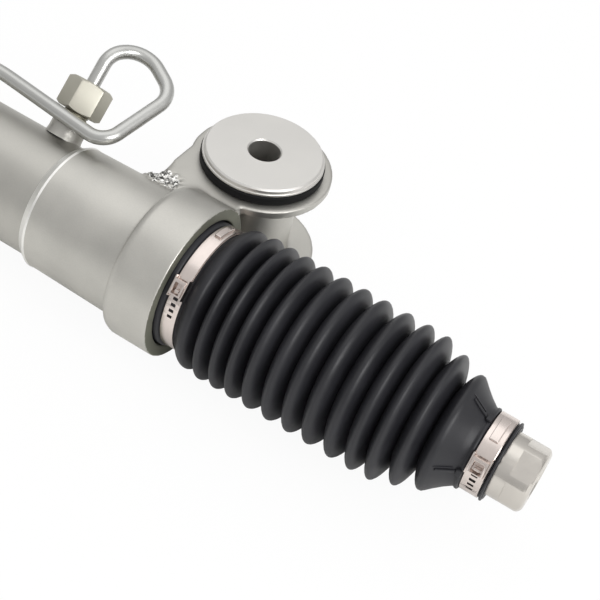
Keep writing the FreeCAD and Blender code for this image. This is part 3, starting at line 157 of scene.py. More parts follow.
class RackColours(bpy.types.PropertyGroup):
    """Colours of the finishes."""

    cast: colour("Casting", "Blasted cast aluminium", "#c3c1bb")
    # Recess colour is painted shade: the collar's end face and recess are drawn darker with it.
    recess: colour("Recess", "Unblasted casting skin in the recess", "#77786c")
    turned: colour("Turned", "Freshly turned aluminium", "#efeeea")
    washer: colour("Washer", "Zinc plated washer", "#d9d7d3")
    rubber: colour("Rubber", "Bushing rubber", "#161617")
    boot: colour("Boot", "Moulded boot", "#222226")
    band: colour("Band", "Stainless band", "#ddd2cc")
    nut: colour("Nut", "Zinc nickel fittings", "#c2bfb3")
    pipe: colour("Pipe", "Galvanised pipe", "#bfbfbc")
    steel: colour("Steel", "Turned carbon steel", "#cfcac3")
    ground: colour("Ground", "Ground and polished steel", "#c9cacb")
    bronze: colour("Bronze", "Sintered bronze", "#a98b55")
    nylon: colour("Nylon", "Natural nylon", "#e2dccb")
    tube: colour("Tube", "Blasted and oiled tube", "#b9b7b1")
    floor: colour("Floor", "Paper floor", "#f4f4f3")


def sizes():
    return bpy.context.scene.rack_sizes


def tints():
    return bpy.context.scene.rack_colours


# Modelling steps

def clear_selection():
    if bpy.context.object and bpy.context.object.mode != "OBJECT":
        bpy.ops.object.mode_set(mode="OBJECT")
    bpy.ops.object.select_all(action="DESELECT")


def take(piece):
    """Selects one piece alone and makes it active."""
    clear_selection()
    piece.select_set(True)
    bpy.context.view_layer.objects.active = piece
    return piece


def named(name):
    piece = bpy.context.object
    piece.name = name
    piece.data.name = name
    return piece


def settle():
    bpy.ops.object.transform_apply(location=True, rotation=True, scale=True)


def apply_modifier(piece, kind, **settings):
    take(piece)
    modifier = piece.modifiers.new(kind.title(), kind)
    for key, value in settings.items():
        setattr(modifier, key, value)
    bpy.ops.object.modifier_apply(modifier=modifier.name)
    return piece


def soften(piece, width=0.35, segments=2, angle=30, smooth=40):
    """Rounds the edges and shades the piece smooth."""
    apply_modifier(
        piece, "BEVEL", width=width * MM, segments=segments, limit_method="ANGLE",
        angle_limit=math.radians(angle), use_clamp_overlap=True, harden_normals=False,
    )
    bpy.ops.object.shade_smooth_by_angle(angle=math.radians(smooth))
    return piece


def line_through(name, points):
    """Draws an open line by extruding one vertex from point to point."""
    clear_selection()
    bpy.ops.mesh.primitive_plane_add(size=MM, location=points[0])
    piece = named(name)
    settle()
    bpy.ops.object.mode_set(mode="EDIT")
    bpy.ops.mesh.select_all(action="SELECT")
    bpy.ops.mesh.merge(type="CENTER")
    for last, point in zip(points, points[1:]):
        bpy.ops.mesh.extrude_vertices_move(TRANSFORM_OT_translate={"value": point - last})
    return piece


def spun(name, points, centre, axis, steps=None, angle=360, smooth=24):
    """Spins a line round an axis."""
    piece = line_through(name, points)
    bpy.ops.mesh.select_all(action="SELECT")
    bpy.ops.mesh.spin(steps=steps or sizes().steps, angle=math.radians(angle), center=centre, axis=axis)
    bpy.ops.mesh.select_all(action="SELECT")
    bpy.ops.mesh.remove_doubles(threshold=0.004 * MM)
    bpy.ops.mesh.normals_make_consistent(inside=False)
    bpy.ops.object.mode_set(mode="OBJECT")
    bpy.ops.object.shade_smooth_by_angle(angle=math.radians(smooth))
    return piece


def closed(points):
    """Closes an outline, unless it begins and ends on its axis."""
    return points if points[0][1] == 0 and points[-1][1] == 0 else points + points[:1]


def lathe_x(name, points, steps=None, smooth=24):
    """Turns (x, radius) points in millimetres round the rack's axis."""
    line = [Vector((x * MM, RACK.y, RACK.z + radius * MM)) for x, radius in closed(points)]
    return spun(name, line, (0, RACK.y, RACK.z), (1, 0, 0), steps, smooth=smooth)


def lathe_z(name, points, centre, steps=None):
    """Turns (height, radius) points in millimetres round an upright axis."""
    line = [Vector((centre.x + radius * MM, centre.y, height * MM)) for height, radius in closed(points)]
    return spun(name, line, (centre.x, centre.y, 0), (0, 0, 1), steps)


def cut(piece, tool):
    """Cuts a tool's shape out of a piece, a second time if the solver has left nothing of it."""
    whole = piece.data.copy()
    cutting = {"object": tool, "operation": "DIFFERENCE", "solver": "EXACT"}
    apply_modifier(piece, "BOOLEAN", **cutting)
    if not piece.data.vertices:
        piece.data = whole
        apply_modifier(piece, "BOOLEAN", **cutting)
    if not piece.data.vertices:
        raise RuntimeError("nothing is left of " + piece.name)
    bpy.data.objects.remove(tool)
    return piece


def block(name, centre, dimensions):
    """Adds a box by its centre and its three sizes, all in millimetres."""
    clear_selection()
    bpy.ops.mesh.primitive_cube_add(size=1, location=[value * MM for value in centre])
    piece = named(name)
    piece.scale = [value * MM for value in dimensions]
    settle()
    return piece


def joined(pieces, name):
    take(pieces[0])
    for piece in pieces[1:]:
        piece.select_set(True)
    bpy.ops.object.join()
    return named(name)


def turn_about(piece, centre, axis, degrees):
    """Turns a finished mesh about an axis through a point."""
    centre = Vector(centre)
    turn = Matrix.Rotation(math.radians(degrees), 4, axis)
    piece.data.transform(Matrix.Translation(centre) @ turn @ Matrix.Translation(-centre))
    piece.data.update()
    return piece


def copy_of(piece, name):
    take(piece)
    bpy.ops.object.duplicate()
    return named(name)


def dress(piece, body, slot, material, *nodes):
    """Gives a piece its finish, its body and the nodes that it stands for."""
    piece.data.materials.clear()
    piece.data.materials.append(bpy.data.materials[material])
    if nodes:
        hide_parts(*nodes)
    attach(piece, body)
    return piece


# Finishes

def add_node(tree, kind, settings=None, links=None):
    """Adds one node with its settings and links."""
    made = tree.nodes.new(kind)
    for key, value in (settings or {}).items():
        if isinstance(key, int) or key in made.inputs:
            made.inputs[key].default_value = value
        else:
            setattr(made, key, value)
    for key, source in (links or {}).items():
        tree.links.new(source, made.inputs[key])
    return made


def new_finish(name):
    material = bpy.data.materials.new(name)
    material.use_nodes = True
    tree = material.node_tree
    tree.nodes.clear()
    place = add_node(tree, "ShaderNodeTexCoord").outputs["Object"]
    return tree, place


def end_finish(tree, shader):
    add_node(tree, "ShaderNodeOutputMaterial", links={"Surface": shader.outputs[0]})


def shade_of(rgb, amount):
    return [min(1, part * amount) for part in rgb[:3]] + [1]


def blasted(name, rgb, rough, metallic, grain=0.5, depth=0.04, spread=0.12):
    """Matt skin with a fine even grain and broad faint clouds."""
    tree, place = new_finish(name)
    clouds = add_node(tree, "ShaderNodeTexNoise", {"Scale": 1 / (28 * MM), "Detail": 5}, {"Vector": place})
    grit = add_node(tree, "ShaderNodeTexNoise", {"Scale": 1 / (grain * MM), "Detail": 3}, {"Vector": place})
    blend = add_node(tree, "ShaderNodeMath", {"operation": "MULTIPLY_ADD", 1: 0.35},
                     {0: grit.outputs["Fac"], 2: clouds.outputs["Fac"]})
    ramp = add_node(tree, "ShaderNodeValToRGB", links={"Fac": blend.outputs[0]})
    ramp.color_ramp.elements[0].position = 0.45
    ramp.color_ramp.elements[0].color = shade_of(rgb, 1 - spread)
    ramp.color_ramp.elements[1].position = 0.85
    ramp.color_ramp.elements[1].color = shade_of(rgb, 1 + spread / 2)
    gloss = add_node(tree, "ShaderNodeMapRange", {"From Min": 0.3, "From Max": 0.7, "To Min": rough - 0.05,
                                                  "To Max": rough + 0.07}, {"Value": clouds.outputs["Fac"]})
    bump = add_node(tree, "ShaderNodeBump", {"Strength": 0.35, "Distance": depth * MM},
                    {"Height": grit.outputs["Fac"]})
    shader = add_node(tree, "ShaderNodeBsdfPrincipled", {"Metallic": metallic}, {
        "Base Color": ramp.outputs["Color"], "Roughness": gloss.outputs[0], "Normal": bump.outputs["Normal"]})
    end_finish(tree, shader)
    return shader


def turned_finish(name, rgb, rough, centre, axis, pitch, depth=0.012, spread=0.08):
    """Metal with the fine rings that a lathe or a brush leaves round one axis."""
    tree, place = new_finish(name)
    away = [-value for value in centre]
    moved = add_node(tree, "ShaderNodeMapping", {"Location": away}, {"Vector": place})
    rings = add_node(tree, "ShaderNodeTexWave", {
        "wave_type": "BANDS", "bands_direction": axis, "Scale": 1 / (pitch * MM * 3.2), "Distortion": 0.6,
        "Detail": 2, "Detail Scale": 3,
    }, {"Vector": moved.outputs[0]})
    clouds = add_node(tree, "ShaderNodeTexNoise", {"Scale": 1 / (14 * MM), "Detail": 4}, {"Vector": place})
    ramp = add_node(tree, "ShaderNodeValToRGB", links={"Fac": clouds.outputs["Fac"]})
    ramp.color_ramp.elements[0].position = 0.35
    ramp.color_ramp.elements[0].color = shade_of(rgb, 1 - spread)
    ramp.color_ramp.elements[1].position = 0.68
    ramp.color_ramp.elements[1].color = shade_of(rgb, 1 + spread / 2)
    bump = add_node(tree, "ShaderNodeBump", {"Strength": 0.3, "Distance": depth * MM},
                    {"Height": rings.outputs["Fac"]})
    shader = add_node(tree, "ShaderNodeBsdfPrincipled", {"Metallic": 1, "Roughness": rough}, {
        "Base Color": ramp.outputs["Color"], "Normal": bump.outputs["Normal"]})
    end_finish(tree, shader)
    return shader


def moulded(name, rgb, rough, grain, depth, gloss_level=0.5, spread=0.2):
    """Rubber or plastic skin, with a dull bloom in places."""
    tree, place = new_finish(name)
    clouds = add_node(tree, "ShaderNodeTexNoise", {"Scale": 1 / (22 * MM), "Detail": 6}, {"Vector": place})
    grit = add_node(tree, "ShaderNodeTexNoise", {"Scale": 1 / (grain * MM), "Detail": 2}, {"Vector": place})
    ramp = add_node(tree, "ShaderNodeValToRGB", links={"Fac": clouds.outputs["Fac"]})
    ramp.color_ramp.elements[0].position = 0.38
    ramp.color_ramp.elements[0].color = shade_of(rgb, 1 - spread)
    ramp.color_ramp.elements[1].position = 0.66
    ramp.color_ramp.elements[1].color = shade_of(rgb, 1 + spread)
    gloss = add_node(tree, "ShaderNodeMapRange", {"From Min": 0.35, "From Max": 0.65, "To Min": rough - 0.05,
                                                  "To Max": rough + 0.08}, {"Value": clouds.outputs["Fac"]})
    bump = add_node(tree, "ShaderNodeBump", {"Strength": 0.3, "Distance": depth * MM},
                    {"Height": grit.outputs["Fac"]})
    shader = add_node(tree, "ShaderNodeBsdfPrincipled", {"Specular IOR Level": gloss_level}, {
        "Base Color": ramp.outputs["Color"], "Roughness": gloss.outputs[0], "Normal": bump.outputs["Normal"]})
    end_finish(tree, shader)
    return shader


class RACK_OT_finishes(bpy.types.Operator):
    """Makes the materials"""

    bl_idname = "steering_rack.finishes"
    bl_label = "Finishes"

    def execute(self, context):
        tint = tints()
        rack = (0, RACK.y, RACK.z)
        # Die cast aluminium, shot blasted: a soft satin grey with a fine even grain.
        blasted("blasted_cast_aluminium", tint.cast, 0.44, 1.0)
        # The same casting drawn darker and dull: painted shade on the collar's end face and in its recess.
        blasted("painted_recess_shade", tint.recess, 0.6, 0.6, spread=0.3)
        # Aluminium torn through at the feed: bright crumbs 1.5 mm across, with near black specks of painted shade
        # in the pitting among them.
        self.torn(tint.turned)
        # Aluminium turned on a lathe: brighter, with rings 0.3 mm apart.
        turned_finish("turned_aluminium", tint.turned, 0.36, rack, "X", 0.3)
        # Drawn steel tube under clear zinc: smooth, a little cloudy.
        blasted("zinc_plated_tube", tint.pipe, 0.34, 1.0, grain=0.6, depth=0.004, spread=0.08)
        # Cylinder tube, blasted with the castings: the same soft grey.
        blasted("blasted_tube", tint.tube, 0.44, 1.0, grain=0.5, depth=0.03, spread=0.1)
        # Pressed steel washer, dull zinc, with the faintest rolling grain.
        blasted("zinc_plated_washer", tint.washer, 0.42, 1.0, grain=0.25, depth=0.008, spread=0.04)
        # Natural rubber, moulded: black, dull, with a slight skin gloss.
        moulded("moulded_rubber", tint.rubber, 0.62, 0.3, 0.02, 0.15)
        # Thermoplastic elastomer, blow moulded: charcoal with a satin skin.
        moulded("boot_elastomer", tint.boot, 0.44, 0.6, 0.02, 0.4, spread=0.12)
        # Stainless strip, brushed along its length.
        turned_finish("brushed_stainless", tint.band, 0.24, rack, "X", 0.25)
        # Zinc nickel plating on machined fittings: pale straw and satin.
        blasted("zinc_nickel", tint.nut, 0.5, 1.0, grain=0.35, depth=0.012, spread=0.07)
        # Carbon steel bar turned to size, with rings 0.35 mm apart.
        turned_finish("turned_steel", tint.steel, 0.24, rack, "X", 0.35)
        # Induction hardened and ground steel: close to a mirror.
        turned_finish("ground_steel", tint.ground, 0.16, rack, "X", 0.15, depth=0.003)
        # Oil filled sintered bronze: fine pores.
        blasted("sintered_bronze", tint.bronze, 0.45, 1.0, grain=0.3)
        # Natural nylon, moulded: milky.
        moulded("natural_nylon", tint.nylon, 0.4, 0.5, 0.01, spread=0.05)
        return {"FINISHED"}

    def torn(self, rgb):
        tree, place = new_finish("torn_aluminium_pit_shade")
        painted_pit_shade = add_node(tree, "ShaderNodeTexNoise", {"Scale": 1 / (1.5 * MM), "Detail": 3}, {"Vector": place})
        crumbs = add_node(tree, "ShaderNodeTexVoronoi", {"Scale": 1 / (1.5 * MM)}, {"Vector": place})
        # Painted shade: the ramp's near black end darkens the pitting, and its bright end is the metal's own
        # colour.
        ramp = add_node(tree, "ShaderNodeValToRGB", links={"Fac": painted_pit_shade.outputs["Fac"]})
        ramp.color_ramp.elements[0].position = 0.4
        ramp.color_ramp.elements[0].color = shade_of(rgb, 0.12)
        ramp.color_ramp.elements[1].position = 0.56
        ramp.color_ramp.elements[1].color = shade_of(rgb, 1.1)
        bump = add_node(tree, "ShaderNodeBump", {"Strength": 0.7, "Distance": 0.5 * MM},
                        {"Height": crumbs.outputs["Distance"]})
        shader = add_node(tree, "ShaderNodeBsdfPrincipled", {"Metallic": 1, "Roughness": 0.35}, {
            "Base Color": ramp.outputs["Color"], "Normal": bump.outputs["Normal"]})
        end_finish(tree, shader)


class RACK_OT_stage(bpy.types.Operator):
    """Sets the floor, the lamps, the world and the camera"""

    bl_idname = "steering_rack.stage"
    bl_label = "Stage"

    def execute(self, context):
        scene = context.scene
        scene.view_settings.view_transform = "Standard"
        clear_selection()
        low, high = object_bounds()
        floor_level = low.z - 0.3 * MM
        bpy.ops.mesh.primitive_plane_add(size=12, location=(0, 0, floor_level))
        floor = named("floor")
        settle()
        floor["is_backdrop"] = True
        tree, place = new_finish("paper_floor")
        tint = list(tints().floor) + [1]
        paper = add_node(tree, "ShaderNodeBsdfDiffuse", {"Color": tint})
        glow = add_node(tree, "ShaderNodeEmission", {"Color": (1, 1, 1, 1), "Strength": 1})
        seen = add_node(tree, "ShaderNodeLightPath")
        straight = add_node(tree, "ShaderNodeMath", {"operation": "MULTIPLY", 1: 0.94},
                            {0: seen.outputs["Is Camera Ray"]})
        both = add_node(tree, "ShaderNodeMixShader", links={0: straight.outputs[0]})
        tree.links.new(paper.outputs[0], both.inputs[1])
        tree.links.new(glow.outputs[0], both.inputs[2])
        end_finish(tree, both)
        floor.data.materials.append(bpy.data.materials["paper_floor"])
        self.light_world(scene)
        middle = Vector((0.03, -0.05, 0.03))
        self.lamp("key", (-0.4, 0.3, 1.5), middle, 1.6, 5)
        self.lamp("side", (1.2, -0.5, 0.9), middle, 0.8, 12)
        self.aim_camera(scene)
        return {"FINISHED"}

    def light_world(self, scene):
        world = bpy.data.worlds.new("studio")
        scene.world = world
        world.use_nodes = True
        tree = world.node_tree
        tree.nodes.clear()
        place = add_node(tree, "ShaderNodeTexCoord")
        parts = add_node(tree, "ShaderNodeSeparateXYZ", links={0: place.outputs["Generated"]})
        ramp = add_node(tree, "ShaderNodeValToRGB", links={"Fac": parts.outputs["Z"]})
        ramp.color_ramp.elements[0].color = (0.62, 0.62, 0.62, 1)
        ramp.color_ramp.elements[1].color = (1.0, 1.0, 1.0, 1)
        seen = add_node(tree, "ShaderNodeLightPath")
        soft = add_node(tree, "ShaderNodeBackground", {"Strength": 0.85}, {"Color": ramp.outputs["Color"]})
        white = add_node(tree, "ShaderNodeBackground", {"Color": (1, 1, 1, 1), "Strength": 1})
        both = add_node(tree, "ShaderNodeMixShader", links={0: seen.outputs["Is Camera Ray"]})
        tree.links.new(soft.outputs[0], both.inputs[1])
        tree.links.new(white.outputs[0], both.inputs[2])
        add_node(tree, "ShaderNodeOutputWorld", links={"Surface": both.outputs[0]})

    def lamp(self, name, place, target, size, power):
        bpy.ops.object.light_add(type="AREA", location=place)
        light = named(name)
        light.data.shape = "SQUARE"
        light.data.size = size
        light.data.energy = power
        light.rotation_mode = "QUATERNION"
        light.rotation_quaternion = (target - Vector(place)).to_track_quat("-Z", "Y")

    def aim_camera(self, scene):
        """Stands the camera where the fitted view puts it, level with none of the rack's axes."""
        bpy.ops.object.camera_add()
        camera = named("camera")
        right = Vector(CAMERA_RIGHT)
        back = right.cross(Vector(CAMERA_UP)).normalized()
        up = back.cross(right).normalized()
        turn = Matrix((right.normalized(), up, back)).transposed().to_4x4()
        camera.matrix_world = Matrix.Translation(CAMERA_PLACE) @ turn
        camera.data.lens = CAMERA_LENS
        camera.data.sensor_width = 36
        camera.data.clip_start = 0.01
        camera.data.clip_end = 50
        scene.camera = camera


# Castings

def true_round(piece, centre, axis, rounds):
    """Brings what lies close to a turned surface back onto it.

    Each row gives a start and a stop along the axis and the radius at both, in millimetres.
    """
    normals = [vertex.normal.copy() for vertex in piece.data.vertices]
    for vertex, normal in zip(piece.data.vertices, normals):
        offset = (vertex.co - centre) / MM
        reach = offset.dot(axis)
        arm = offset - axis * reach
        radius = arm.length
        for start, stop, near, far in rounds:
            if start <= reach <= stop:
                wanted = near + (far - near) * (reach - start) / (stop - start)
                if abs(radius - wanted) < 0.8 and abs(normal.dot(arm)) > 0.75 * radius:
                    vertex.co += arm * (wanted / radius - 1) * MM
                    break


def softened_copy(node, name, grain, passes, rounds, added=None):
    """Copies a casting into an even net of faces, then melts its edges as a mould's radii would."""
    take(frame["nodes"][node])
    bpy.ops.object.duplicate()
    piece = named(name)
    for key in list(piece.keys()):
        del piece[key]
    bpy.ops.object.parent_clear(type="CLEAR_KEEP_TRANSFORM")
    bpy.ops.object.mode_set(mode="EDIT")
    bpy.ops.mesh.select_all(action="SELECT")
    bpy.ops.mesh.remove_doubles(threshold=0.004 * MM)
    bpy.ops.object.mode_set(mode="OBJECT")
    if added:
        piece = joined([piece, added], name)
    skin = copy_of(piece, "skin")
    take(piece)
    piece.data.remesh_voxel_size = grain
    bpy.ops.object.voxel_remesh()
    for mark in ("sharp_edge", "sharp_face", "custom_normal"):
        if mark in piece.data.attributes:
            piece.data.attributes.remove(piece.data.attributes[mark])
    apply_modifier(piece, "SHRINKWRAP", target=skin, wrap_method="NEAREST_SURFACEPOINT")
    bpy.data.objects.remove(skin)
    for centre, axis, rows in rounds:
        true_round(piece, Vector(centre), Vector(axis), rows)
    apply_modifier(piece, "SMOOTH", factor=0.5, iterations=passes)
    bpy.ops.object.shade_smooth()
    return piece


class RACK_OT_castings(bpy.types.Operator):
    """Makes the end casting, the gear casting and the valve housing"""

    bl_idname = "steering_rack.castings"
    bl_label = "Castings"

    def execute(self, context):
        size = sizes()
        cast = "blasted_cast_aluminium"
        end = softened_copy("end_housing", "end_casting", size.cast_grain, 3,
                            self.rack_rounds("end") + self.boss_rounds("end"), self.gate_stub())
        dress(end, "housing", "cast_aluminium", cast, "end_housing")
        self.melt(end, (-33, 25, 25), (-16, 26, 25), 11, 50)
        self.tear_gate(end)
        self.paint_recess_shade(end, FACES["end"], 1)
        gear = softened_copy("gear_housing", "gear_casting", size.far_grain, 3,
                             self.rack_rounds("gear") + self.boss_rounds("gear") + self.tower_rounds())
        dress(gear, "housing", "cast_aluminium", cast, "gear_housing")
        self.paint_recess_shade(gear, FACES["gear"], -1)
        valve = softened_copy("valve_housing", "valve_casting", size.cast_grain, 3, self.tower_rounds())
        dress(valve, "housing", "cast_aluminium", cast, "valve_housing")
        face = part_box("end_housing")[0].x / MM
        step = lathe_x("turned_step", [
            (face - 0.2, 27.7), (face - 0.2, 28.4), (face + 0.1, 28.6), (face + 3.0, 30.4),
            (face + 4.4, 29.8), (face + 2.6, 29.2),
        ])
        dress(step, "housing", "cast_aluminium", "turned_aluminium")
        return {"FINISHED"}

    def rack_rounds(self, side):
        """Turned surfaces round the rack's axis, from a collar's face inwards."""
        way = dict(SIDES)[side]
        barrel = {"end": -71.6, "gear": -83}[side]
        rows = [(-20.5, 0, 36.5, 36.5), (-22.9, -20.5, 35.45, 36.5), (barrel, -24, 30, 31)]
        if side == "gear":
            rows += [(-312, -85, 26.5, 26.5), (-348, -313, 30, 30)]
        return [((FACES[side] * MM, RACK.y, RACK.z), (way, 0, 0), rows)]

    def boss_rounds(self, side):
        """Flanges and post of a mounting boss."""
        return [((EYES[side].x, EYES[side].y, RACK.z), (0, 0, 1), [(-30, 30, 33, 33), (-30, 30, 20, 20)])]

    def tower_rounds(self):
        """Pinion tower, valve housing, their flanges, and the yoke's boss behind the tower."""
        uprights = [(-40, 28, 21, 21), (28, 100, 22, 22), (15, 40, 33, 33)]
        yoke = [(10, 60, 19, 19), (-60, -10, 19, 19)]
        return [((PINION.x, PINION.y, RACK.z), (0, 0, 1), uprights),
                ((PINION.x, RACK.y, RACK.z), (0, 1, 0), yoke)]

    def gate_stub(self):
        """Low stub where the feed was broken off, between the arm and the barrel."""
        stub = block("gate", (-27, 20.6 + RACK.y / MM, 22.0 + RACK.z / MM), (15, 8, 6))
        return turn_about(stub, (0, RACK.y + 20.6 * MM, RACK.z + 22 * MM), "X", -44)

    def tear_gate(self, piece):
        """Roughens the stub's face as broken metal."""
        take(piece)
        bpy.ops.object.mode_set(mode="EDIT")
        bpy.ops.mesh.select_mode(type="VERT")
        bpy.ops.mesh.select_all(action="DESELECT")
        bpy.ops.object.mode_set(mode="OBJECT")
        middle = Vector((-27 * MM, RACK.y + 22.4 * MM, RACK.z + 24.2 * MM))
        for vertex in piece.data.vertices:
            offset = (vertex.co - middle) / MM
            ragged = 1 + 0.16 * math.sin(offset.x * 2.1) + 0.12 * math.sin(offset.y * 3.4 + 1)
            away = (offset.x / 9.4, (offset.y - offset.z) / 7.6, (offset.y + offset.z) / 11)
            vertex.select = math.hypot(*away) < ragged
        bpy.ops.object.mode_set(mode="EDIT")
        bpy.ops.transform.vertex_random(offset=0.8 * MM, uniform=0.3, seed=5)
        bpy.ops.object.mode_set(mode="OBJECT")
        piece.data.materials.append(bpy.data.materials["torn_aluminium_pit_shade"])
        for polygon in piece.data.polygons:
            if polygon.select:
                polygon.material_index = 1

    def melt(self, piece, first, last, reach, passes):
        """Rounds out the inner corner that runs from one point to another, as a mould's fillet does."""
        corner = Vector((0, RACK.y / MM, RACK.z / MM))
        start = (Vector(first) + corner) * MM
        run = (Vector(last) + corner) * MM - start
        group = piece.vertex_groups.new(name="corner")
        for vertex in piece.data.vertices:
            share = max(0, min(1, (vertex.co - start).dot(run) / run.length_squared))
            away = (vertex.co - start - run * share).length / (reach * MM)
            if away < 1:
                group.add([vertex.index], 1 - away * away, "REPLACE")
        apply_modifier(piece, "SMOOTH", factor=0.5, iterations=passes, vertex_group="corner")
        piece.vertex_groups.clear()

    def paint_recess_shade(self, piece, face, way):
        """Gives the collar's end face and recess a darker casting colour, as painted shade."""
        # Painted shade: the end face and the recess faces take the darker casting colour.
        piece.data.materials.append(bpy.data.materials["painted_recess_shade"])
        skin = len(piece.data.materials) - 1
        for polygon in piece.data.polygons:
            centre = polygon.center
            reach = math.hypot(centre.y - RACK.y, centre.z - RACK.z) / MM
            if way * (centre.x / MM - face) > -7 and reach < 36.2:
                if way * polygon.normal.x > 0.75 or reach < 34:
                    polygon.material_index = skin


class RACK_OT_cylinder(bpy.types.Operator):
    """Makes the cylinder tube and its two port bosses"""

    bl_idname = "steering_rack.cylinder"
    bl_label = "Cylinder"

    def execute(self, context):
        low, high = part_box("cylinder_tube")
        outer = (high.z - low.z) / 2 / MM
        tube = lathe_x("drawn_tube", [
            (low.x / MM, outer - 3), (high.x / MM, outer - 3), (high.x / MM, outer), (low.x / MM, outer),
        ])
        dress(tube, "housing", "tube_steel", "blasted_tube", "cylinder_tube")
        for side, way in SIDES:
            node = side + "_port_boss"
            centre = middle_of(node).x / MM
            boss = lathe_z(side + "_brazed_boss", [
                (26.6, 2.5), (26.6, 9.0), (28.6, 8.5), (29.4, 8.4), (35.6, 8.4), (36, 8.0),
                (36, 6.05), (30, 6.05), (30, 2.5),
            ], Vector((0, 0, 0)), 64)
            boss.matrix_world = (Matrix.Translation((centre * MM, RACK.y, RACK.z))
                                 @ Matrix.Rotation(math.radians(-45), 4, "X"))
            take(boss)
            settle()
            dress(boss, "housing", "tube_steel", "blasted_tube", node)
        return {"FINISHED"}


# Bushings

class RACK_OT_bushings(bpy.types.Operator):
    """Makes the rubber bushings, their washers and sleeves"""

    bl_idname = "steering_rack.bushings"
    bl_label = "Bushings"

    def execute(self, context):
        for side, way in SIDES:
            eye = EYES[side]
            self.rubber(side, eye)
            self.washer(side, eye, "top", 66.1, 1)
            self.washer(side, eye, "bottom", 3.4, -1)
            tube = [(3.4, 7.5), (3.4, 11.5), (66.1, 11.5), (66.1, 7.5)]
            sleeve = lathe_z(side + "_steel_sleeve", tube, eye, 96)
            dress(sleeve, "housing", "washer_steel", "zinc_plated_washer", side + "_bushing_sleeve")
        return {"FINISHED"}

    def rubber(self, side, eye):
        body = lathe_z(side + "_moulded_rubber", [
            (3.4, 11.6), (3.4, 28.2), (3.9, 28.8), (8.9, 28.8), (9.4, 28.2), (9.45, 16.0),
            (61.55, 16.0), (61.6, 28.2), (62.1, 28.8), (65.4, 28.8), (66.05, 28.0), (66.05, 11.6),
        ], eye)
        dress(body, "housing", "bushing_rubber", "moulded_rubber", side + "_bushing_rubber")

    def washer(self, side, eye, place, level, way):
        """Pressed washer: a plain rim below and a turned chamfer above it."""
        profile = [
            (0, 7.5), (0, 28.1), (0.25, 28.3), (1.0, 28.3), (1.25, 28.05), (1.3, 27.75),
            (2.6, 27.55), (3.2, 27.0), (3.4, 26.7), (3.4, 8.1), (2.8, 7.5),
        ]
        piece = lathe_z(side + "_" + place + "_pressed_washer",
                        [(level + way * height, radius) for height, radius in profile], eye)
        dress(piece, "housing", "washer_steel", "zinc_plated_washer", side + "_bushing_" + place + "_washer")


# Boots and their bands

CRESTS = (25, 33, 41, 49, 58, 68, 78, 88, 99, 109, 118, 128, 138)
CREST_SCALE = (0.977, 1.003, 1, 1, 1, 1, 1, 1, 1, 1, 0.986, 0.893, 0.783)
FOLD_STEPS = (0.0, 0.07, 0.18, 0.32, 0.48, 0.64, 0.8, 0.92)


def boot_line():
    """Outer outline of a boot, from its mouth to its neck: distances along it and radii."""
    size = sizes()
    crest_radius = size.crest / MM
    fold = size.fold / MM
    line = [(4.5, 29.3), (5.0, 30.1), (10.3, 30.2), (11.0, 29.6), (11.3, 28.32), (18.2, 28.32)]
    for index, crest in enumerate(CRESTS):
        top = crest_radius * CREST_SCALE[index]
        before = 18.6 if index == 0 else (CRESTS[index - 1] + crest) / 2
        floor = top - fold if index else 28.2
        for step in FOLD_STEPS:
            rise = math.sin(step * math.pi / 2) ** 0.82
            line.append((before + (crest - before) * step, floor + (top - floor) * rise))
        line.append((crest, top))
        if index == len(CRESTS) - 1:
            break
        after = (crest + CRESTS[index + 1]) / 2
        floor = crest_radius * CREST_SCALE[index + 1] - fold
        for step in reversed(FOLD_STEPS[1:]):
            rise = math.sin(step * math.pi / 2) ** 0.82
            line.append((after + (crest - after) * step, floor + (top - floor) * rise))
    line += [
        (139.2, 26.9), (140.3, 26.0), (142.5, 23.9), (146.0, 20.9), (149.2, 18.6), (149.9, 18.5),
        (150.3, 18.9), (151.2, 18.9), (151.6, 18.3), (151.8, 16.86), (160.7, 16.86), (160.9, 17.3),
        (161.2, 18.0), (161.6, 18.2), (162.0, 18.0), (162.3, 17.0), (162.4, 15.6),
    ]
    return line


def inner_line(line, wall):
    """The same outline one wall thickness in."""
    inside = []
    for index, (x, radius) in enumerate(line):
        before = line[max(0, index - 1)]
        after = line[min(len(line) - 1, index + 1)]
        run, rise = after[0] - before[0], after[1] - before[1]
        size = math.hypot(run, rise) or 1
        inside.append((x + wall * rise / size, radius - wall * run / size))
    return inside


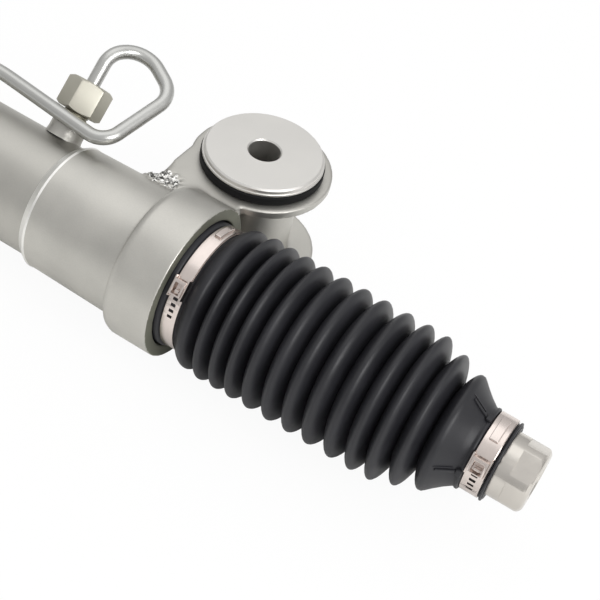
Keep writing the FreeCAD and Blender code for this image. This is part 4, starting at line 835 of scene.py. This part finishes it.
class RACK_OT_boots(bpy.types.Operator):
    """Makes both boots, each in three lengths that meet in a fold"""

    bl_idname = "steering_rack.boots"
    bl_label = "Boots"

    def execute(self, context):
        line = boot_line()
        joints = [(CRESTS[9] + CRESTS[10]) / 2, (CRESTS[11] + CRESTS[12]) / 2]
        for side, way in SIDES:
            edges = [0, joints[0], joints[1], 200]
            bodies = (("housing", "rack"), ("rack", side + "_ball_seat"),
                      (side + "_ball_seat", side + "_neck_band"))
            for part, (near, far) in enumerate(bodies):
                span = [point for point in line if edges[part] - 1e-6 <= point[0] <= edges[part + 1] + 1e-6]
                piece = self.length(side, way, part, span)
                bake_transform(piece)
            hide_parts(side + "_boot")
        return {"FINISHED"}

    def length(self, side, way, part, span):
        """One length of a boot as a closed shell."""
        wall = sizes().boot_wall / MM
        inside = inner_line(span, wall)
        if part == 2:
            inside = [(x, max(radius, 14.76)) for x, radius in inside]
        inside[0] = (span[0][0], span[0][1] - wall)
        inside[-1] = (span[-1][0], max(span[-1][1] - wall, 14.76))
        if part == 0:
            inside = [(x, max(radius, 25.56) if x < 19 else radius) for x, radius in inside]
        outline = [(FACES[side] + way * (x - 9), radius) for x, radius in span + inside[::-1]]
        piece = lathe_x(side + "_bellows_" + str(part + 1), outline, smooth=60)
        if part == 2:
            piece = self.gussets(piece, side, way)
        piece.data.materials.append(bpy.data.materials["boot_elastomer"])
        return piece

    def gussets(self, cone, side, way):
        """Moulded webs on the cone, each with a fine parting ridge beside it and a nub at its foot."""
        name = cone.name
        centre = Vector((FACES[side], RACK.y / MM, RACK.z / MM))
        slope = math.degrees(math.atan2(26.0 - 18.8, 149.2 - 140.3))
        pieces = [cone]
        for turn in (1, 82, 180, 262):
            web = block("web", centre + Vector((way * (145.6 - 9), 0, 21.4)), (10.6, 1.1, 1.7))
            turn_about(web, (centre + Vector((way * (145.6 - 9), 0, 21.6))) * MM, "Y", way * slope)
            ridge = block("ridge", centre + Vector((way * (144 - 9), 1.6, 22.7)), (9.0, 0.4, 0.9))
            turn_about(ridge, (centre + Vector((way * (144 - 9), 1.6, 22.7))) * MM, "Y", way * slope)
            nub = block("nub", centre + Vector((way * (150.2 - 9), 0, 19.2)), (2.4, 3.4, 1.8))
            for part in (web, ridge, nub):
                pieces.append(soften(turn_about(part, RACK, "X", turn), 0.35, 2))
        return joined(pieces, name)


# Where the locks stand round the rack's axis, in degrees from the top: on large bands and on small ones
LOCKS = {True: 51, False: 60}


class RACK_OT_bands(bpy.types.Operator):
    """Makes the boots' bands, each with its lock, bridge and punched slots"""

    bl_idname = "steering_rack.bands"
    bl_label = "Bands"

    def execute(self, context):
        for side, way in SIDES:
            for kind, body in (("large", "housing"), ("small", side + "_neck_band")):
                node = side + "_" + kind + "_clamp"
                low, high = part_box(node)
                start, stop = low.x / MM, high.x / MM
                if kind == "large":
                    start, stop = start + 2 * (way > 0), stop - 2 * (way < 0)
                else:
                    start, stop = start - 0.8 * (way < 0), stop + 0.8 * (way > 0)
                radius = 28.36 if kind == "large" else 16.9
                self.band(node, way, start, stop, radius, body)
        return {"FINISHED"}

    def band(self, node, way, start, stop, radius, body):
        """A strip whose punched tail runs under its own outer end and a folded lock."""
        thick = sizes().band / MM
        name = node.replace("clamp", "band")
        outer = radius + thick
        strip = lathe_x(name, [(start, radius), (stop, radius), (stop, outer), (start, outer)])
        middle = (start + stop) / 2
        width = stop - start
        degree = math.degrees(1 / outer)
        lock = LOCKS[radius > 20]
        for count in range(4):
            slot = block("slot", (middle, RACK.y / MM, RACK.z / MM + outer), (width * 0.34, 1.4, 4))
            cut(strip, turn_about(slot, RACK, "X", lock + degree * (5.2 + 2.9 * count)))
        lid = outer + thick
        tail = lock - 3 * degree
        pieces = [strip]
        pieces.append(self.arc("lap", start + 0.2, stop - 0.2, outer + 0.02, lid, tail, lock - 120))
        pieces.append(self.bridge(middle, width, lid, lock - 75 * (radius > 20) - 55 * (radius < 20) + 20))
        pieces += self.lock(middle, width, outer, lock, degree)
        whole = joined(pieces, name)
        soften(whole, 0.16, 2, 35)
        dress(whole, body, "band_steel", "brushed_stainless", node)

    def arc(self, name, start, stop, inner, outer, first, last):
        """Part of a ring, from one angle to another about the rack's axis, 0 at the top."""
        line = [Vector((x * MM, RACK.y, RACK.z + r * MM))
                for x, r in [(start, inner), (stop, inner), (stop, outer), (start, outer), (start, inner)]]
        piece = spun(name, line, (0, RACK.y, RACK.z), (1, 0, 0), 40, abs(last - first))
        take(piece)
        bpy.ops.object.mode_set(mode="EDIT")
        bpy.ops.mesh.select_all(action="DESELECT")
        bpy.ops.mesh.select_non_manifold()
        bpy.ops.mesh.fill_holes(sides=0)
        bpy.ops.mesh.select_all(action="SELECT")
        bpy.ops.mesh.normals_make_consistent(inside=False)
        bpy.ops.object.mode_set(mode="OBJECT")
        sweep = min(piece.data.vertices, key=lambda vertex: vertex.co.y)
        leans_back = sweep.co.y < RACK.y - 0.001 * MM
        return turn_about(piece, RACK, "X", min(first, last) if leans_back else max(first, last))

    def bridge(self, middle, width, level, turn):
        """Long oval rib pressed up out of the strip."""
        start, stop = middle - width * 0.24, middle + width * 0.24
        rib = self.arc("rib", start, stop, level - 0.3, level + 1.1, turn, turn - 700 / level)
        apply_modifier(rib, "BEVEL", width=0.7 * MM, segments=3, limit_method="ANGLE")
        return rib

    def lock(self, middle, width, outer, turn, degree):
        """Folded lock: a raised ear with a window, between two side tabs, and the hook that it holds."""
        def placed(name, lift, back, dimensions):
            piece = block(name, (middle, RACK.y / MM, RACK.z / MM + outer + lift), dimensions)
            return turn_about(piece, RACK, "X", turn + back * degree)

        ear = placed("ear", 2.0, 0, (width * 0.84, 7.0, 4.2))
        cut(ear, placed("window", 2.6, 0.4, (width * 0.56, 5.0, 5.2)))
        cut(ear, placed("mouth", 1.6, -3.0, (width * 0.5, 3.0, 2.2)))
        hook = placed("hook", 1.6, 1.4, (width * 0.3, 1.2, 2.6))
        tabs = []
        for side in (-1, 1):
            tab = block("tab", (middle + side * width * 0.47, RACK.y / MM, RACK.z / MM + outer + 1.4),
                        (width * 0.09, 9.6, 3.4))
            tabs.append(turn_about(tab, RACK, "X", turn))
        return [ear, hook] + tabs


# Tie rods

class RACK_OT_tie_rods(bpy.types.Operator):
    """Makes the inner tie rods with their threaded, six sided ends"""

    bl_idname = "steering_rack.tie_rods"
    bl_label = "Tie rods"

    def execute(self, context):
        for side, way in SIDES:
            self.rod(side, way)
        return {"FINISHED"}

    def rod(self, side, way):
        low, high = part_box(side + "_tie_rod")
        face = (high.x if way > 0 else low.x) / MM
        ball = (low.x if way > 0 else high.x) / MM + way * 14
        arc = [(-14 * math.cos(math.radians(angle)), 14 * math.sin(math.radians(angle)))
               for angle in range(0, 154, 9)]
        body = [(ball + way * x, radius) for x, radius in arc]
        body += [(ball + way * 16, 6.5), (ball + way * 22, 8)]
        tail = [
            (38, 8), (32.6, 13.4), (32, 14.2), (31, 14.7), (2.2, 14.7), (1.4, 14.4), (0.5, 13.5), (0, 12.6),
            (0, 8.4), (0.4, 8.0), (1.4, 7.0),
        ]
        thread = []
        for turn in range(12):
            back = 1.4 + turn * 2.0
            thread += [(back, 7.0), (back + 0.9, 7.75), (back + 1.1, 7.75)]
        inside = [(27, 7.0), (31, 0)]
        profile = body + [(face - way * back, radius) for back, radius in tail[:-1] + thread + inside]
        piece = lathe_x(side + "_rod", [(profile[0][0], 0)] + profile[1:], 96)
        for count in range(6):
            flat = block("flat", (face - way * 3.5, RACK.y / MM, RACK.z / MM + 13.5 + 3), (13, 24, 6))
            turn_about(flat, RACK, "X", 60 * count + 30)
            cut(piece, flat)
        soften(piece, 0.3, 2, 17, 14)
        dress(piece, side + "_tie_rod", "tie_rod_steel", "turned_steel", side + "_tie_rod")


# Pipes and their nuts

def bent(points, radii, steps=10):
    """Points along straight runs joined by round bends, all in millimetres."""
    path = [Vector(points[0])]
    for index, radius in enumerate(radii, 1):
        corner = Vector(points[index])
        towards = (Vector(points[index - 1]) - corner).normalized()
        onwards = (Vector(points[index + 1]) - corner).normalized()
        half = (math.pi - towards.angle(onwards)) / 2
        enter = corner + towards * radius * math.tan(half)
        middle = (towards + onwards).normalized()
        centre = corner + middle * radius / math.cos(half)
        axis = (enter - centre).cross(onwards).normalized()
        for step in range(steps + 1):
            turn = Matrix.Rotation(2 * half * step / steps, 3, axis)
            path.append(centre + turn @ (enter - centre))
    return path + [Vector(points[-1])]


def above_port(x, reach):
    """Point over a port boss, reach millimetres from the rack's axis."""
    lean = math.sqrt(0.5)
    return (x, reach * lean, reach * lean)


class RACK_OT_pipes(bpy.types.Operator):
    """Makes the two transfer pipes and the four flare nuts"""

    bl_idname = "steering_rack.pipes"
    bl_label = "Pipes"

    def execute(self, context):
        end_x = middle_of("end_port_boss").x / MM
        gear_x = middle_of("gear_port_boss").x / MM
        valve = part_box("end_pipe")[0].x / MM
        level = (PINION.y - RACK.y) / MM
        low_port, high_port = 50, 73
        self.pipe("end", [
            above_port(end_x, 38), above_port(end_x, 71), (end_x + 9.3, 65.9, 49), (end_x + 32.5, 55.5, 41),
            (end_x + 25.5, 13.5, 34), (end_x - 39, 21.5, 34.5), (end_x - 152, 10, 36),
            (valve + 45, 13, 38), (valve + 26, level, low_port), (valve - 2, level, low_port),
        ], [11, 13, 12, 9, 60, 90, 28, 10])
        self.pipe("gear", [
            above_port(gear_x, 38), above_port(gear_x, 70), (gear_x - 32, 44, high_port),
            (valve + 26, level, high_port), (valve - 2, level, high_port),
        ], [10, 25, 25])
        self.nuts(end_x, gear_x, valve, level, low_port, high_port)
        return {"FINISHED"}

    def pipe(self, side, points, radii):
        route = [point * MM + Vector((0, RACK.y, RACK.z)) for point in bent(points, radii)]
        piece = line_through(side + "_transfer_pipe", route)
        bpy.ops.object.mode_set(mode="OBJECT")
        bpy.ops.object.convert(target="CURVE")
        piece = bpy.context.object
        piece.data.bevel_depth = sizes().pipe
        piece.data.bevel_resolution = 6
        piece.data.use_fill_caps = True
        bpy.ops.object.convert(target="MESH")
        piece = named(side + "_transfer_pipe")
        bpy.ops.object.shade_smooth_by_angle(angle=math.radians(50))
        dress(piece, "housing", "tube_steel", "zinc_plated_tube", side + "_pipe")

    def nuts(self, end_x, gear_x, valve, level, low_port, high_port):
        """One nut, modelled once and copied to its four seats."""
        corner = 19 / math.sqrt(3)
        hexagon = lathe_z("flare_nut", [
            (4, 0), (4, 9.2), (5.1, corner + 0.1), (17.7, corner + 0.1), (19, 9.0), (19, 4.6), (18, 3.7), (18, 0),
        ], Vector((0, 0, 0)), 72)
        take(hexagon)
        bpy.ops.object.mode_set(mode="EDIT")
        for count in range(6):
            way = Vector((math.cos(math.radians(60 * count)), math.sin(math.radians(60 * count)), 0))
            bpy.ops.mesh.select_all(action="SELECT")
            bpy.ops.mesh.bisect(plane_co=way * 9.5 * MM, plane_no=way, use_fill=True, clear_outer=True)
        bpy.ops.mesh.select_all(action="SELECT")
        bpy.ops.mesh.remove_doubles(threshold=0.004 * MM)
        bpy.ops.mesh.normals_make_consistent(inside=False)
        bpy.ops.object.mode_set(mode="OBJECT")
        soften(hexagon, 0.25, 2, 30)
        thread = [(-6, 3.35), (-6, 5.4), (-5.4, 6.0)]
        for turn in range(6):
            foot = -5.4 + turn * 1.5
            thread += [(foot + 0.1, 6.0), (foot + 0.75, 5.3), (foot + 1.4, 6.0)]
        thread += [(4.1, 5.3), (4.1, 3.35)]
        shank = lathe_z("shank", thread, Vector((0, 0, 0)), 64)
        nut = joined([hexagon, shank], "flare_nut")
        lean = Matrix.Rotation(math.radians(-45), 4, "X")
        level_way = Matrix.Rotation(math.radians(90), 4, "Y")
        seats = [
            (above_port(end_x, 36), lean), (above_port(gear_x, 36), lean),
            ((valve - 4, level, low_port), level_way), ((valve - 4, level, high_port), level_way),
        ]
        for index, (place, turn) in enumerate(seats):
            twin = copy_of(nut, "flare_nut_" + str(index + 1))
            twin.matrix_world = Matrix.Translation(Vector(place) * MM + Vector((0, RACK.y, RACK.z))) @ turn
            take(twin)
            settle()
            dress(twin, "housing", "zinc_steel", "zinc_nickel")
        bpy.data.objects.remove(nut)
        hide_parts("flare_nuts")


# Pieces that keep the shape they have

KEPT = {
    "rack_bar": "ground_steel", "piston": "ground_steel", "pinion": "ground_steel",
    "input_shaft": "turned_steel",
    "end_socket": "turned_steel", "gear_socket": "turned_steel", "lower_bearing": "ground_steel",
    "pinion_nut": "turned_steel", "valve_sleeve": "ground_steel", "torsion_bar": "ground_steel",
    "retaining_ring": "turned_steel", "yoke_spring": "turned_steel", "valve_bolts": "zinc_nickel",
    "bottom_plug": "zinc_nickel", "yoke_plug": "zinc_nickel", "yoke_locknut": "zinc_nickel",
    "outer_rack_seal": "moulded_rubber", "inner_rack_seal": "moulded_rubber", "input_seal": "moulded_rubber",
    "dust_cap": "moulded_rubber", "rack_bush": "sintered_bronze", "upper_bearing": "sintered_bronze",
    "end_liner": "natural_nylon", "gear_liner": "natural_nylon", "piston_ring": "natural_nylon",
    "rack_yoke": "turned_aluminium",
}


class RACK_OT_kept(bpy.types.Operator):
    """Gives the inner pieces and the plain fittings their finish"""

    bl_idname = "steering_rack.kept"
    bl_label = "Inner pieces"

    def execute(self, context):
        for node, material in KEPT.items():
            data = frame["nodes"][node].data
            data.materials.clear()
            data.materials.append(bpy.data.materials[material])
        return {"FINISHED"}


class RACK_PT_panel(bpy.types.Panel):
    """Lists the sizes, the colours and the steps"""

    bl_idname = "RACK_PT_panel"
    bl_label = "Steering rack"
    bl_space_type = "VIEW_3D"
    bl_region_type = "UI"
    bl_category = "Steering rack"

    def draw(self, context):
        for group in (context.scene.rack_sizes, context.scene.rack_colours):
            for key in group.__annotations__:
                self.layout.prop(group, key)
        for step in STEPS:
            self.layout.operator(step.bl_idname)


STEPS = (
    RACK_OT_finishes, RACK_OT_stage, RACK_OT_castings, RACK_OT_cylinder, RACK_OT_bushings, RACK_OT_boots,
    RACK_OT_bands, RACK_OT_tie_rods, RACK_OT_pipes, RACK_OT_kept,
)
CLASSES = (RackSizes, RackColours) + STEPS + (RACK_PT_panel,)


def register():
    for kind in CLASSES:
        bpy.utils.register_class(kind)
    bpy.types.Scene.rack_sizes = PointerProperty(type=RackSizes)
    bpy.types.Scene.rack_colours = PointerProperty(type=RackColours)


def unregister():
    del bpy.types.Scene.rack_colours
    del bpy.types.Scene.rack_sizes
    for kind in reversed(CLASSES):
        bpy.utils.unregister_class(kind)


def main():
    register()
    bpy.ops.steering_rack.finishes()
    bpy.ops.steering_rack.stage()
    bpy.ops.steering_rack.castings()
    bpy.ops.steering_rack.cylinder()
    bpy.ops.steering_rack.bushings()
    bpy.ops.steering_rack.boots()
    bpy.ops.steering_rack.bands()
    bpy.ops.steering_rack.tie_rods()
    bpy.ops.steering_rack.pipes()
    bpy.ops.steering_rack.kept()


if __name__ == "__main__":
    main()
